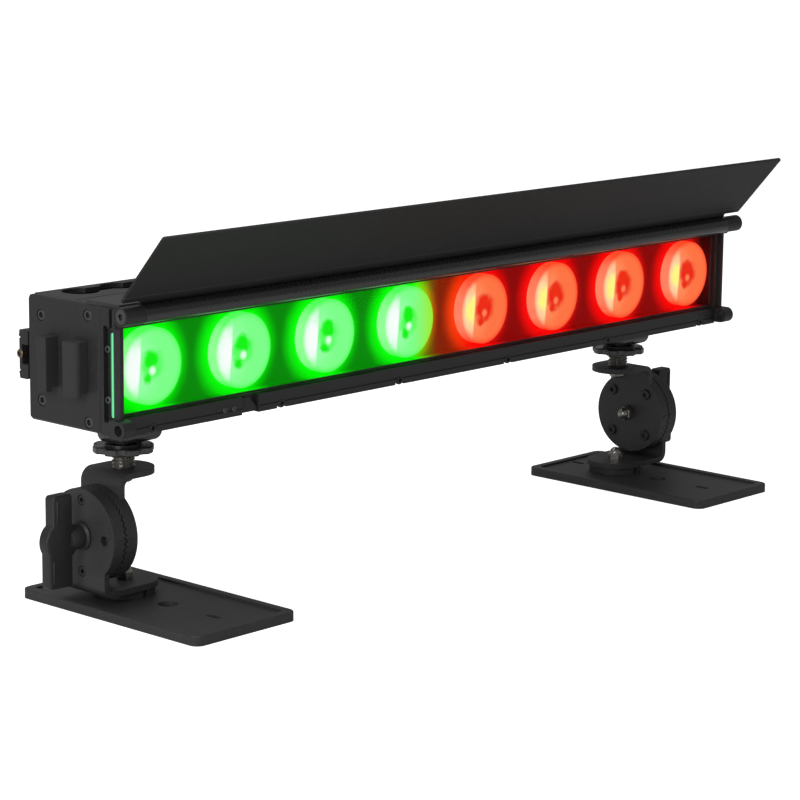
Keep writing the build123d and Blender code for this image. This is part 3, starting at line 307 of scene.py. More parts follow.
# Screws and pins
# Hexagon-socket screws of blackened steel, turned and broached, with a bevelled rim. The hinge pins
# have the same finish, and the rear lugs have one broad screw each.
# Each size below is head radius, head height, socket radius and socket depth.
SCREW_EDGE = 0.35 * MM
SCREW_STEPS = 32
SCREW_SIZES = ("Head Radius", "Head Height", "Socket Radius", "Socket Depth")
SCREW_SOFT = 0.15 * MM
CAP_SCREW = (2.9 * MM, 2.3 * MM, 1.7 * MM, 1.5 * MM)
POCKET_SCREW = (1.9 * MM, 3.0 * MM, 1.1 * MM, 1.4 * MM)
RAIL_SCREW = (1.6 * MM, 0.5 * MM, 0.7 * MM, 0.4 * MM)
LUG_HEAD = (4.0 * MM, 1.6 * MM, 1.9 * MM, 1.2 * MM)

blackened = coating(
    "blackened_steel", (0.09, 0.09, 0.09, 1.0), 0.32, 0.5, 0.3 * MM, 0.02 * MM, 0.8, SCREW_SOFT
)
dress(blackened, "hinge_pins")


def solids(name):
    """The lowest and highest corners of each separate solid in a CAD node."""
    shape = bmesh.new()
    shape.from_mesh(nodes[name].data)
    bmesh.ops.remove_doubles(shape, verts=shape.verts, dist=0.001 * MM)
    waiting = set(shape.verts)
    boxes = []
    while waiting:
        found = [waiting.pop()]
        for vert in found:
            for edge in vert.link_edges:
                other = edge.other_vert(vert)
                if other in waiting:
                    waiting.remove(other)
                    found.append(other)
        places = [vert.co for vert in found]
        corners = [[pick(p[axis] for p in places) for axis in range(3)] for pick in (min, max)]
        boxes.append([Vector(corner) for corner in corners])
    shape.free()
    return sorted(boxes, key=lambda box: tuple(box[0]))


def prism(tree, sides, low_radius, high_radius, height, rise=0.0):
    """Geometry Nodes: a closed prism or cone on its base, lifted by rise."""
    cone = tree.nodes.new("GeometryNodeMeshCone")
    cone.inputs["Vertices"].default_value = sides
    sizes = (("Radius Top", high_radius), ("Radius Bottom", low_radius), ("Depth", height))
    for name, value in sizes:
        link_socket(tree, value, cone.inputs[name])
    lift = tree.nodes.new("ShaderNodeCombineXYZ")
    link_socket(tree, rise, lift.inputs["Z"])
    move = tree.nodes.new("GeometryNodeTransform")
    tree.links.new(cone.outputs["Mesh"], move.inputs["Geometry"])
    tree.links.new(lift.outputs["Vector"], move.inputs["Translation"])
    return move.outputs["Geometry"]


def united(tree, *meshes):
    node = tree.nodes.new("GeometryNodeMeshBoolean")
    node.operation = "UNION"
    for mesh in meshes:
        tree.links.new(mesh, node.inputs["Mesh 2"])
    return node.outputs["Mesh"]


def cut_out(tree, solid, tool):
    node = tree.nodes.new("GeometryNodeMeshBoolean")
    node.operation = "DIFFERENCE"
    tree.links.new(solid, node.inputs["Mesh 1"])
    tree.links.new(tool, node.inputs["Mesh 2"])
    return node.outputs["Mesh"]


def screw_tree():
    """Geometry Nodes: a screw head with a bevelled rim and a hexagon socket on every point."""
    tree = bpy.data.node_groups.new("socket_screws", "GeometryNodeTree")
    tree.interface.new_socket("Geometry", in_out="INPUT", socket_type="NodeSocketGeometry")
    for name in SCREW_SIZES:
        tree.interface.new_socket(name, in_out="INPUT", socket_type="NodeSocketFloat")
    tree.interface.new_socket("Finish", in_out="INPUT", socket_type="NodeSocketMaterial")
    tree.interface.new_socket("Geometry", in_out="OUTPUT", socket_type="NodeSocketGeometry")
    given = tree.nodes.new("NodeGroupInput").outputs
    waist = maths(tree, "SUBTRACT", given["Head Height"], SCREW_EDGE)
    rim = maths(tree, "SUBTRACT", given["Head Radius"], SCREW_EDGE)
    head = united(
        tree,
        prism(tree, SCREW_STEPS, given["Head Radius"], given["Head Radius"], waist),
        prism(tree, SCREW_STEPS, given["Head Radius"], rim, SCREW_EDGE, waist),
    )
    socket_low = maths(tree, "SUBTRACT", given["Head Height"], given["Socket Depth"])
    deep = maths(tree, "MULTIPLY", given["Socket Depth"], 2.0)
    socket = prism(tree, 6, given["Socket Radius"], given["Socket Radius"], deep, socket_low)
    facing = tree.nodes.new("GeometryNodeInputNamedAttribute")
    facing.data_type = "FLOAT_VECTOR"
    facing.inputs["Name"].default_value = "facing"
    turn = tree.nodes.new("FunctionNodeAlignRotationToVector")
    turn.axis = "Z"
    tree.links.new(facing.outputs["Attribute"], turn.inputs["Vector"])
    place = tree.nodes.new("GeometryNodeInstanceOnPoints")
    tree.links.new(given["Geometry"], place.inputs["Points"])
    tree.links.new(cut_out(tree, head, socket), place.inputs["Instance"])
    tree.links.new(turn.outputs["Rotation"], place.inputs["Rotation"])
    real = tree.nodes.new("GeometryNodeRealizeInstances")
    tree.links.new(place.outputs["Instances"], real.inputs["Geometry"])
    finish = tree.nodes.new("GeometryNodeSetMaterial")
    tree.links.new(real.outputs["Geometry"], finish.inputs["Geometry"])
    tree.links.new(given["Finish"], finish.inputs["Material"])
    out = tree.nodes.new("NodeGroupOutput")
    tree.links.new(finish.outputs["Geometry"], out.inputs["Geometry"])
    return tree


def placed(name, mesh, body, slot, *replaced):
    """Puts a finished mesh on its body, in place of the CAD nodes that it stands for."""
    piece = bpy.data.objects.new(name, mesh)
    bpy.context.scene.collection.objects.link(piece)
    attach(piece, body)
    if replaced:
        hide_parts(*replaced)


SCREWS = screw_tree()


def screws(name, seats, sizes, finish, body, *replaced):
    """One mesh of screws on seats, each a place and the way that it faces."""
    points = bpy.data.meshes.new(name + "_points")
    points.from_pydata([seat[0] for seat in seats], [], [])
    facing = points.attributes.new("facing", "FLOAT_VECTOR", "POINT")
    for row, seat in zip(facing.data, seats):
        row.vector = seat[1]
    maker = bpy.data.objects.new(name + "_maker", points)
    bpy.context.scene.collection.objects.link(maker)
    modifier = maker.modifiers.new("screws", "NODES")
    modifier.node_group = SCREWS
    values = dict(zip(SCREW_SIZES, sizes), Finish=finish)
    for socket in SCREWS.interface.items_tree:
        if socket.in_out == "INPUT" and socket.name in values:
            modifier[socket.identifier] = values[socket.name]
    evaluated = maker.evaluated_get(bpy.context.evaluated_depsgraph_get())
    made = bpy.data.meshes.new_from_object(evaluated)
    maker.modifiers.remove(modifier)
    bpy.data.objects.remove(maker)
    placed(name, made, body, "steel", *replaced)


def head_seats(name, axis):
    """Where the heads of a CAD node's screws sit; along X they face away from the middle."""
    seats = []
    for low, high in solids(name):
        centre = (low + high) / 2
        side = axis[0] * (1 if centre.x > 0 else -1) if axis[0] else 0
        facing = Vector((side, axis[1], axis[2]))
        reach = abs((high - low).dot(facing)) / 2
        seats.append((centre - facing * reach, facing))
    return seats


heads = (
    ("cap_screws", "end_cap_screws", (1, 0, 0), CAP_SCREW),
    ("pocket_screws", "bracket_screws", (1, 0, 0), POCKET_SCREW),
    ("rail_end_screws", "rail_screws", (0, -1, 0), RAIL_SCREW),
    ("lug_screws", "lug_pins", (0, 1, 0), LUG_HEAD),
)
for name, node, axis, sizes in heads:
    screws(name, head_seats(node, axis), sizes, blackened, "bar", node)


# Rail and lug details
# A dark socket screw stands in each notch of the bottom rail, and a bronzed one in the outer side
# of each rear lug.
NOTCH_FIRST = -222.8 * MM
NOTCH_PITCH = 89.95 * MM
NOTCH_COUNT = 6
NOTCH_SCREW = (2.4 * MM, 1.6 * MM, 1.2 * MM, 1.0 * MM)
NOTCH_SCREW_UP = 2.3 * MM
LUG_SCREW = (2.3 * MM, 3.2 * MM, 1.2 * MM, 0.8 * MM)
NOTCH_SCREW_SINK = 1.3 * MM
LUG_SCREW_SINK = 2.8 * MM
LUG_SCREW_BACK = 0.4 * MM

oxide = coating(
    "black_oxide", (0.02, 0.02, 0.02, 1.0), 0.4, 0.4, 0.3 * MM, 0.02 * MM, 0.3, SCREW_SOFT
)
rail_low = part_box("bottom_rail")[0]
seats = []
for index in range(NOTCH_COUNT):
    along = NOTCH_FIRST + index * NOTCH_PITCH
    spot = Vector((along, rail_low.y + NOTCH_SCREW_SINK, rail_low.z + NOTCH_SCREW_UP))
    seats.append((spot, Vector((0, -1, 0))))
screws("notch_screws", seats, NOTCH_SCREW, oxide, "bar")

bronzed = coating(
    "bronzed_steel", (0.16, 0.12, 0.08, 1.0), 0.3, 0.5, 0.3 * MM, 0.02 * MM, 0.9, SCREW_SOFT
)
lug_low, lug_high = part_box("eye_lugs")
lug_z = (lug_low.z + lug_high.z) / 2
seats = []
for end in (lug_low.x, lug_high.x):
    out = math.copysign(1.0, end)
    spot = Vector((end - out * LUG_SCREW_SINK, lug_high.y - LUG_SCREW_BACK, lug_z))
    seats.append((spot, Vector((out, 0, 0))))
screws("lug_side_screws", seats, LUG_SCREW, bronzed, "bar")


# Stands
# Laser-cut and folded steel brackets, a flat steel base and die-cast ratchet discs, all with a dark
# powder coat. The knob and the track fitting are moulded, and the swivel bolt is plated steel.
STAND_COLOUR = (0.03, 0.03, 0.03, 1.0)
SIDES = (("left", -1), ("right", 1))

stand_coat = coating("stand_powder_coat", STAND_COLOUR, 0.5, 0.35, 0.8 * MM, 0.05 * MM)
moulded = coating("moulded_black", scaled(STAND_COLOUR, 0.8), 0.24, 0.7, 0.7 * MM, 0.03 * MM)
plated = coating(
    "black_plated_steel", (0.24, 0.23, 0.21, 1.0), 0.26, 0.5, 0.3 * MM, 0.01 * MM, 0.9, SCREW_SOFT
)
coated = ("base_plate", "spacer_disc", "lower_bracket", "upper_bracket", "lower_disc", "upper_disc")
for side, _ in SIDES:
    for part in coated:
        dress(stand_coat, f"{side}_{part}")
    dress(moulded, f"{side}_star_knob", f"{side}_track_fitting")
    dress(plated, f"{side}_swivel_bolt")


# Studs
# A rolled M12 thread above the flange, which the star knob runs on. A button head and a washer
# hold it from below.
THREAD_PITCH = 1.75 * MM
THREAD_DEPTH = 1.0 * MM
STUD_RADIUS = 6.0 * MM
SHANK_RADIUS = 4.0 * MM
WASHER_RADIUS = 6.6 * MM
WASHER_THICK = 1.0 * MM
BUTTON_RADIUS = 5.2 * MM
BUTTON_HEIGHT = 3.6 * MM
BUTTON_FLAT = 2.8 * MM
BUTTON_CROWN = 2.6 * MM
BUTTON_STEPS = 6
DIMPLE_RADIUS = 2.0 * MM
DIMPLE_DEPTH = 1.2 * MM
WASHER_SOFT = 0.2 * MM
ROUND_STEPS = 48
THREAD_ROWS = 8
THREAD_SLOPE = 1.25
THREAD_FLAT = 0.125
SMOOTH_ANGLE = 35.0


def turned(shape, profile, place, axis=(0, 0, 1), steps=ROUND_STEPS):
    """Revolves radius and height pairs about an axis through a place, closed at both ends."""
    turn = Vector((0, 0, 1)).rotation_difference(Vector(axis)).to_matrix()
    rings = []
    for radius, height in profile:
        ring = []
        for step in range(steps if radius > 0 else 1):
            angle = 2 * math.pi * step / steps
            spot = Vector((radius * math.cos(angle), radius * math.sin(angle), height))
            ring.append(shape.verts.new(Vector(place) + turn @ spot))
        rings.append(ring)
    bridge(shape, rings)


def bridge(shape, rings):
    """Joins neighbouring rings of points with faces and closes both ends."""
    for low, high in zip(rings, rings[1:]):
        for step in range(max(len(low), len(high))):
            corners = [low[step % len(low)], low[(step + 1) % len(low)]]
            corners += [high[(step + 1) % len(high)], high[step % len(high)]]
            shape.faces.new(list(dict.fromkeys(corners)))
    for ring in (rings[0], rings[-1]):
        if len(ring) > 1:
            shape.faces.new(ring)


def threaded(shape, place, low, high):
    """A rod whose surface winds up at the thread's pitch."""
    rows = round((high - low) / THREAD_PITCH * THREAD_ROWS)
    rings = []
    for row in range(rows + 1):
        height = low + (high - low) * row / rows
        ring = []
        for step in range(ROUND_STEPS):
            turn = step / ROUND_STEPS
            wave = abs(((height - low) / THREAD_PITCH - turn) % 1.0 - 0.5) * 2
            share = min(1.0, max(0.0, THREAD_SLOPE * wave - THREAD_FLAT))
            reach = STUD_RADIUS - THREAD_DEPTH * share
            angle = 2 * math.pi * turn
            x, y = place[0] + reach * math.cos(angle), place[1] + reach * math.sin(angle)
            ring.append(shape.verts.new((x, y, height)))
        rings.append(ring)
    bridge(shape, rings)


def finished_mesh(name, shape, material):
    """A mesh with outward faces and one material, smooth but for its sharp edges."""
    bmesh.ops.recalc_face_normals(shape, faces=shape.faces)
    mesh = bpy.data.meshes.new(name)
    shape.to_mesh(mesh)
    shape.free()
    mesh.materials.append(material)
    mesh.shade_smooth()
    mesh.set_sharp_from_angle(angle=math.radians(SMOOTH_ANGLE))
    return mesh


for side, _ in SIDES:
    low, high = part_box(f"{side}_stud")
    axis_x, axis_y = (low.x + high.x) / 2, (low.y + high.y) / 2
    flange_under = low.z + BUTTON_HEIGHT + WASHER_THICK
    flange_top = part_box(f"{side}_upper_bracket")[1].z
    shape = bmesh.new()
    dimple = low.z + DIMPLE_DEPTH
    button = [(0.0, dimple), (DIMPLE_RADIUS - 0.1 * MM, dimple)]
    button += [(DIMPLE_RADIUS, low.z), (BUTTON_FLAT, low.z)]
    for step in range(1, BUTTON_STEPS + 1):
        angle = math.pi / 2 * step / BUTTON_STEPS
        radius = BUTTON_FLAT + (BUTTON_RADIUS - BUTTON_FLAT) * math.sin(angle)
        button.append((radius, low.z + BUTTON_CROWN * (1 - math.cos(angle))))
    button += [(BUTTON_RADIUS, low.z + BUTTON_HEIGHT), (0.0, low.z + BUTTON_HEIGHT)]
    turned(shape, button, (axis_x, axis_y, 0))
    washer_low = flange_under - WASHER_THICK
    washer = [(0.0, washer_low), (WASHER_RADIUS - WASHER_SOFT, washer_low)]
    washer.append((WASHER_RADIUS, washer_low + WASHER_SOFT))
    washer.append((WASHER_RADIUS, flange_under - WASHER_SOFT))
    washer += [(WASHER_RADIUS - WASHER_SOFT, flange_under), (0.0, flange_under)]
    turned(shape, washer, (axis_x, axis_y, 0))
    turned(shape, [(SHANK_RADIUS, flange_under), (SHANK_RADIUS, flange_top)], (axis_x, axis_y, 0))
    threaded(shape, (axis_x, axis_y), flange_top, high.z)
    mesh = finished_mesh("threaded_stud", shape, plated)
    placed(f"{side}_threaded_stud", mesh, f"{side}_carriage", "steel", f"{side}_stud")


# Lug ridges
# Two round ridges across each rear lug, at the outer edge of its back, moulded with it and coated
# alike.
RIDGE_UP = 9.6 * MM
RIDGE_RADIUS = 1.1 * MM
RIDGE_LENGTH = 17.3 * MM
RIDGE_SOFT = 0.3 * MM
RIDGE_SINK = 0.2 * MM
RIDGE_STEPS = 16

rod = [(RIDGE_RADIUS - RIDGE_SOFT, 0.0), (RIDGE_RADIUS, RIDGE_SOFT)]
rod += [(RIDGE_RADIUS, RIDGE_LENGTH - RIDGE_SOFT), (RIDGE_RADIUS - RIDGE_SOFT, RIDGE_LENGTH)]
shape = bmesh.new()
for end in (lug_low.x, lug_high.x):
    inward = -math.copysign(1.0, end)
    for up in (-RIDGE_UP, RIDGE_UP):
        spot = (end + inward * RIDGE_SINK, lug_high.y - RIDGE_SINK, lug_z + up)
        turned(shape, rod, spot, (inward, 0, 0), RIDGE_STEPS)
placed("lug_ridges", finished_mesh("lug_ridges", shape, powder), "bar", "black_metal")


# Tilt bolt, disc screws and leg screws
# A bolt through both discs with a domed nut on the inner leg, four screws that hold the upper disc,
# and two in the outer leg for the lower one.
NUT_FLATS = 8.0 * MM
NUT_LENGTH = 9.2 * MM
NUT_WAIST = 5.5 * MM
BOLT_RADIUS = 2.5 * MM
DISC_SCREW_SPREAD = 12.8 * MM
LEG_SCREW_SPREAD = 18.6 * MM
NUT_CHAMFER = 0.93
NUT_SHOULDER = 0.9
BALL_SHARE = 0.92
BALL_STEPS = 8
ROD_STEPS = 24
DISC_SCREW = (3.2 * MM, 1.4 * MM, 1.5 * MM, 1.1 * MM)
LEG_SCREW = (2.75 * MM, 1.5 * MM, 1.3 * MM, 1.1 * MM)
LEG_SCREW_SINK = 1.6 * MM


def domed_nut(shape, place, axis):
    """A hexagon with chamfered corners, and a ball end on it."""
    corner = NUT_FLATS / math.sqrt(3)
    hexagon = [(corner * NUT_CHAMFER, 0.0), (corner, 0.4 * MM)]
    hexagon += [(corner, NUT_WAIST - 0.5 * MM), (corner * NUT_SHOULDER, NUT_WAIST)]
    turned(shape, hexagon, place, axis, 6)
    ball = NUT_FLATS / 2 * BALL_SHARE
    profile = [(ball, NUT_WAIST - 0.3 * MM)]
    for step in range(BALL_STEPS + 1):
        angle = math.pi / 2 * step / BALL_STEPS
        radius = ball * math.cos(angle) if step < BALL_STEPS else 0.0
        profile.append((radius, NUT_WAIST + (NUT_LENGTH - NUT_WAIST) * math.sin(angle)))
    turned(shape, profile, place, axis)


for side, way in SIDES:
    low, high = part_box(f"{side}_tilt_bolt")
    tilt_y, tilt_z = (low.y + high.y) / 2, (low.z + high.z) / 2
    foot_low, foot_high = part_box(f"{side}_lower_bracket")
    inner_end, outer_end = (high.x, low.x) if way < 0 else (low.x, high.x)
    leg_face = inner_end + way * NUT_LENGTH
    reach = abs(outer_end - leg_face)
    inward, outward = Vector((-way, 0, 0)), Vector((way, 0, 0))
    shape = bmesh.new()
    domed_nut(shape, (leg_face, tilt_y, tilt_z), inward)
    rod = [(0.0, 0.0), (BOLT_RADIUS, 0.0), (BOLT_RADIUS, reach), (0.0, reach)]
    turned(shape, rod, (leg_face, tilt_y, tilt_z), outward, ROD_STEPS)
    mesh = finished_mesh("tilt_nut", shape, plated)
    placed(f"{side}_tilt_nut", mesh, f"{side}_carriage", "steel", f"{side}_tilt_bolt")
    seats = []
    for back in (-DISC_SCREW_SPREAD, DISC_SCREW_SPREAD):
        for up in (-DISC_SCREW_SPREAD, DISC_SCREW_SPREAD):
            seats.append((Vector((leg_face, tilt_y + back, tilt_z + up)), inward))
    screws(f"{side}_disc_screws", seats, DISC_SCREW, oxide, f"{side}_carriage")
    sunk = (foot_high.x if way > 0 else foot_low.x) - way * LEG_SCREW_SINK
    rises = (-LEG_SCREW_SPREAD, LEG_SCREW_SPREAD)
    seats = [(Vector((sunk, tilt_y, tilt_z + rise)), outward) for rise in rises]
    screws(f"{side}_leg_screws", seats, LEG_SCREW, oxide, f"{side}_foot")


# Wing handles
# Moulded glass-filled nylon: a flat two-winged grip with a raised bead near the outer edge of both
# faces, a bulge at the hub and a round neck to the leg.
WING_WIDTH = 12.4 * MM
WING_LOWER_WIDTH = 15.0 * MM
WING_START = 8.8 * MM
WING_THICK = 7.0 * MM
WING_CORNER = 2.0 * MM
HUB_RADIUS = 10.5 * MM
HUB_OUT = 6.2 * MM
NECK_RADIUS = 6.2 * MM
WING_SOFT = 1.0 * MM
BEAD_IN = 2.6 * MM
BEAD_RADIUS = 0.5 * MM
BEAD_HUB_SHARE = 0.9
BEAD_STEPS = 12

nylon = coating("nylon", scaled(STAND_COLOUR, 0.6), 0.5, 0.4, 0.6 * MM, 0.05 * MM, 0.0, 0.3 * MM)


def arc(centre, radius, start, end, steps):
    """Points on an arc between two angles in degrees."""
    points = []
    for step in range(steps + 1):
        turn = math.radians(start + (end - start) * step / steps)
        points.append((centre[0] + radius * math.cos(turn), centre[1] + radius * math.sin(turn)))
    return points


def handle_outline(half):
    """The grip seen from the front, as distances outward from its inner edge, and heights."""
    hub = (HUB_OUT, 0.0)
    upper = math.degrees(math.acos((WING_WIDTH - HUB_OUT) / HUB_RADIUS))
    lower = math.degrees(math.acos((WING_LOWER_WIDTH - HUB_OUT) / HUB_RADIUS))
    back = math.degrees(math.acos(HUB_OUT / HUB_RADIUS))
    inset = half - WING_CORNER
    points = arc((WING_CORNER, inset), WING_CORNER, 180, 90, 4)
    points += arc((WING_WIDTH - WING_CORNER, inset), WING_CORNER, 90, 0, 4)
    points += arc(hub, HUB_RADIUS, upper, -lower, 12)
    points += arc((WING_LOWER_WIDTH - WING_CORNER, -inset), WING_CORNER, 0, -90, 4)
    points += arc((WING_CORNER, -inset), WING_CORNER, -90, -180, 4)
    points += arc(hub, HUB_RADIUS, -180 + back, -180 - back, 8)
    return points


for side, way in SIDES:
    low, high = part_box(f"{side}_wing_handle")
    neck_x = low.x if way > 0 else high.x
    mid_y, mid_z = (low.y + high.y) / 2, (low.z + high.z) / 2
    half = (high.z - low.z) / 2
    shape = bmesh.new()
    outline = handle_outline(half)
    inner_x = neck_x + way * WING_START
    rings = []
    for depth in (-WING_THICK / 2, WING_THICK / 2):
        points = [(inner_x + way * out, mid_y + depth, mid_z + up) for out, up in outline]
        rings.append([shape.verts.new(point) for point in points])
    bridge(shape, rings)
    faces = [face for face in shape.faces if len(face.verts) == len(outline)]
    rims = [edge for face in faces for edge in face.edges]
    bmesh.ops.recalc_face_normals(shape, faces=shape.faces)
    bmesh.ops.bevel(
        shape, geom=rims, offset=WING_SOFT, segments=3, profile=0.5,
        affect="EDGES", clamp_overlap=True,
    )
    length = half - BEAD_IN - HUB_RADIUS * BEAD_HUB_SHARE
    bead = [(BEAD_RADIUS * 0.5, 0.0), (BEAD_RADIUS, 0.4 * MM)]
    bead += [(BEAD_RADIUS, length - 0.4 * MM), (BEAD_RADIUS * 0.5, length)]
    for face_way in (-1, 1):
        for wing, out in ((1, WING_WIDTH), (-1, WING_LOWER_WIDTH)):
            at = inner_x + way * (out - BEAD_IN)
            start = HUB_RADIUS * BEAD_HUB_SHARE if wing > 0 else BEAD_IN - half
            foot = (at, mid_y + face_way * WING_THICK / 2, mid_z + start)
            turned(shape, bead, foot, (0, 0, 1), BEAD_STEPS)
    flare = [(NECK_RADIUS + 1.2 * MM, 0.0), (NECK_RADIUS + 1.2 * MM, 1.0 * MM)]
    flare += [(NECK_RADIUS, 2.0 * MM), (NECK_RADIUS, WING_START - 1.5 * MM)]
    flare.append((NECK_RADIUS - 1.5 * MM, WING_START + 1.0 * MM))
    turned(shape, flare, (neck_x, mid_y, mid_z), (way, 0, 0))
    mesh = finished_mesh("wing_handle", shape, nylon)
    grip = f"{side}_handle_grip"
    placed(grip, mesh, f"{side}_handle", "knob_plastic", f"{side}_wing_handle")


# Light engine
# Eight frosted lenses in a lit tray behind a clear pane: the left half green, the right half red.
# The lenses and the tray glow with painted light, standing in for the LEDs' light; the glow between
# the lenses is the light that the tray scatters.
lens_low, lens_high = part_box("lenses")
LENS_RADIUS = (lens_high.z - lens_low.z) / 2
PIXEL_COUNT = 8
PIXEL_PITCH = (lens_high.x - lens_low.x - 2 * LENS_RADIUS) / (PIXEL_COUNT - 1)
PIXEL_Z = (lens_high.z + lens_low.z) / 2
GLOW_STRENGTH = 1.06
SEAM = 1 * MM
# Along the bar, or out from a pixel in lens radii: start, end, and the light at each of the two.
HALO_FADE = (1.0, 1.62, 1.0, 0.24)
BAR_END_FADE = (222 * MM, 240 * MM, 1.0, 0.08)
GREEN_FADE = (-20 * MM, 0.0, 1.0, 0.05)
GREEN_LAST = (4 * MM, 30 * MM, 1.0, 0.0)
RED_RISE = (-24 * MM, 4 * MM, 0.0, 1.0)
# Patch size, detail and amount of the noise in a glow's edge.
HALO_RAGGED = (9 * MM, 2.0, 0.1)
LENS_RAGGED = (5 * MM, 3.0, 0.3)
# In lens radii: centre, start and end of the edge, and how much taller than wide.
SOFT_GLOW = ((-0.5, 0.0), 0.2, 0.95, 1.2)
EYE = ((-0.02, 0.02), 0.24, 0.5)
UPPER_PATCH = ((-0.03, 0.2), 0.14, 0.3)
LOWER_PATCH = ((-0.16, -0.32), 0.06, 0.2)
# The crescent and its core are a painted highlight: light that moves with the view on the real
# lens, painted as a fixed pattern.
CRESCENT = ((-0.66, 0.0), 0.26, 0.72, 1.4)
CRESCENT_CORE = ((-0.52, 0.0), 0.16, 0.4, 1.25)
CRESCENT_CUT = (-0.46, -0.4, 1.0, 0.0)
CRESCENT_SLANT = -0.08
SPOT_CENTRE = (0.0, -0.12)
SPOT_EDGE = (0.04, 0.16, 1.0, 0.0)
RIM_EDGE = (0.82, 1.12)
# The green and the red of each layer, and the tint of the last green lens beside the red ones.
LENS_COLOURS = {
    "disc": ((0.2, 1.0, 0.25, 1.0), (1.0, 0.17, 0.05, 1.0)),
    "glow": ((0.45, 1.0, 0.55, 1.0), (1.0, 0.4, 0.18, 1.0)),
    "eye": ((0.09, 1.0, 0.11, 1.0), (0.85, 0.012, 0.0, 1.0)),
    "patches": ((0.0, 0.9, 0.0, 1.0), (0.86, 0.02, 0.0, 1.0)),
    "spot": ((0.75, 1.0, 0.8, 1.0), (1.0, 0.22, 0.08, 1.0)),
    "crescent": ((0.85, 1.0, 0.9, 1.0), (1.0, 0.66, 0.36, 1.0)),
    "core": ((0.95, 1.0, 0.97, 1.0), (1.0, 0.93, 0.22, 1.0)),
    "rim": ((0.0, 1.0, 0.0, 1.0), (1.0, 0.006, 0.0, 1.0)),
}
WARM_RISE = (-30 * MM, -12 * MM)
WARM_SHARE = 0.8
WARM_TINT = (0.35, 0.85, 0.0, 1.0)


def pixel_frame(tree):
    """Sockets for the place along the bar, and the place within the nearest pixel in lens radii."""
    place = tree.nodes.new("ShaderNodeTexCoord").outputs["Object"]
    parts = tree.nodes.new("ShaderNodeSeparateXYZ")
    tree.links.new(place, parts.inputs[0])
    along, up = parts.outputs["X"], maths(tree, "SUBTRACT", parts.outputs["Z"], PIXEL_Z)
    first = lens_low.x + LENS_RADIUS
    pitches = maths(tree, "DIVIDE", maths(tree, "SUBTRACT", along, first), PIXEL_PITCH)
    cell = maths(tree, "ROUND", pitches)
    cell = maths(tree, "MINIMUM", maths(tree, "MAXIMUM", cell, 0.0), PIXEL_COUNT - 1.0)
    centre = maths(tree, "MULTIPLY_ADD", cell, PIXEL_PITCH, first)
    right = maths(tree, "DIVIDE", maths(tree, "SUBTRACT", along, centre), LENS_RADIUS)
    high = maths(tree, "DIVIDE", up, LENS_RADIUS)
    return along, right, high


def distance(tree, right, high, centre=(0.0, 0.0), stretch=1.0):
    """How far a place is from a centre, in lens radii, with heights divided by stretch."""
    across = maths(tree, "SUBTRACT", right, centre[0])
    rise = maths(tree, "DIVIDE", maths(tree, "SUBTRACT", high, centre[1]), stretch)
    across_square = maths(tree, "MULTIPLY", across, across)
    rise_square = maths(tree, "MULTIPLY", rise, rise)
    return maths(tree, "SQRT", maths(tree, "ADD", across_square, rise_square))


def glowing(name, base):
    """A material that shines with painted light and hardly reflects."""
    material, tree, surface = new_material(name)
    surface.inputs["Emission Strength"].default_value = GLOW_STRENGTH
    surface.inputs["Base Color"].default_value = (base, base, base, 1.0)
    surface.inputs["Specular IOR Level"].default_value = 0.02
    surface.inputs["Roughness"].default_value = 0.5
    return material, tree, surface


def ragged(tree, size, detail, amount):
    """Noise about zero, which roughens the edge of a glow by up to half this amount."""
    return maths(tree, "MULTIPLY", maths(tree, "SUBTRACT", noise(tree, size, detail), 0.5), amount)


def tray_glow():
    material, tree, surface = glowing("tray_glow", 0.003)
    along, right, high = pixel_frame(tree)
    rough = ragged(tree, *HALO_RAGGED)
    halo = ease(tree, maths(tree, "ADD", distance(tree, right, high), rough), *HALO_FADE)
    halo = maths(tree, "MULTIPLY", halo, ease(tree, along, *BAR_END_FADE))
    green = maths(tree, "MULTIPLY", halo, ease(tree, along, *GREEN_FADE))
    green = maths(tree, "MULTIPLY", green, ease(tree, along, *GREEN_LAST))
    red = maths(tree, "MULTIPLY", halo, ease(tree, along, *RED_RISE))
    glow = tree.nodes.new("ShaderNodeCombineColor")
    tree.links.new(red, glow.inputs["Red"])
    tree.links.new(green, glow.inputs["Green"])
    tree.links.new(glow.outputs["Color"], surface.inputs["Emission Color"])
    return material


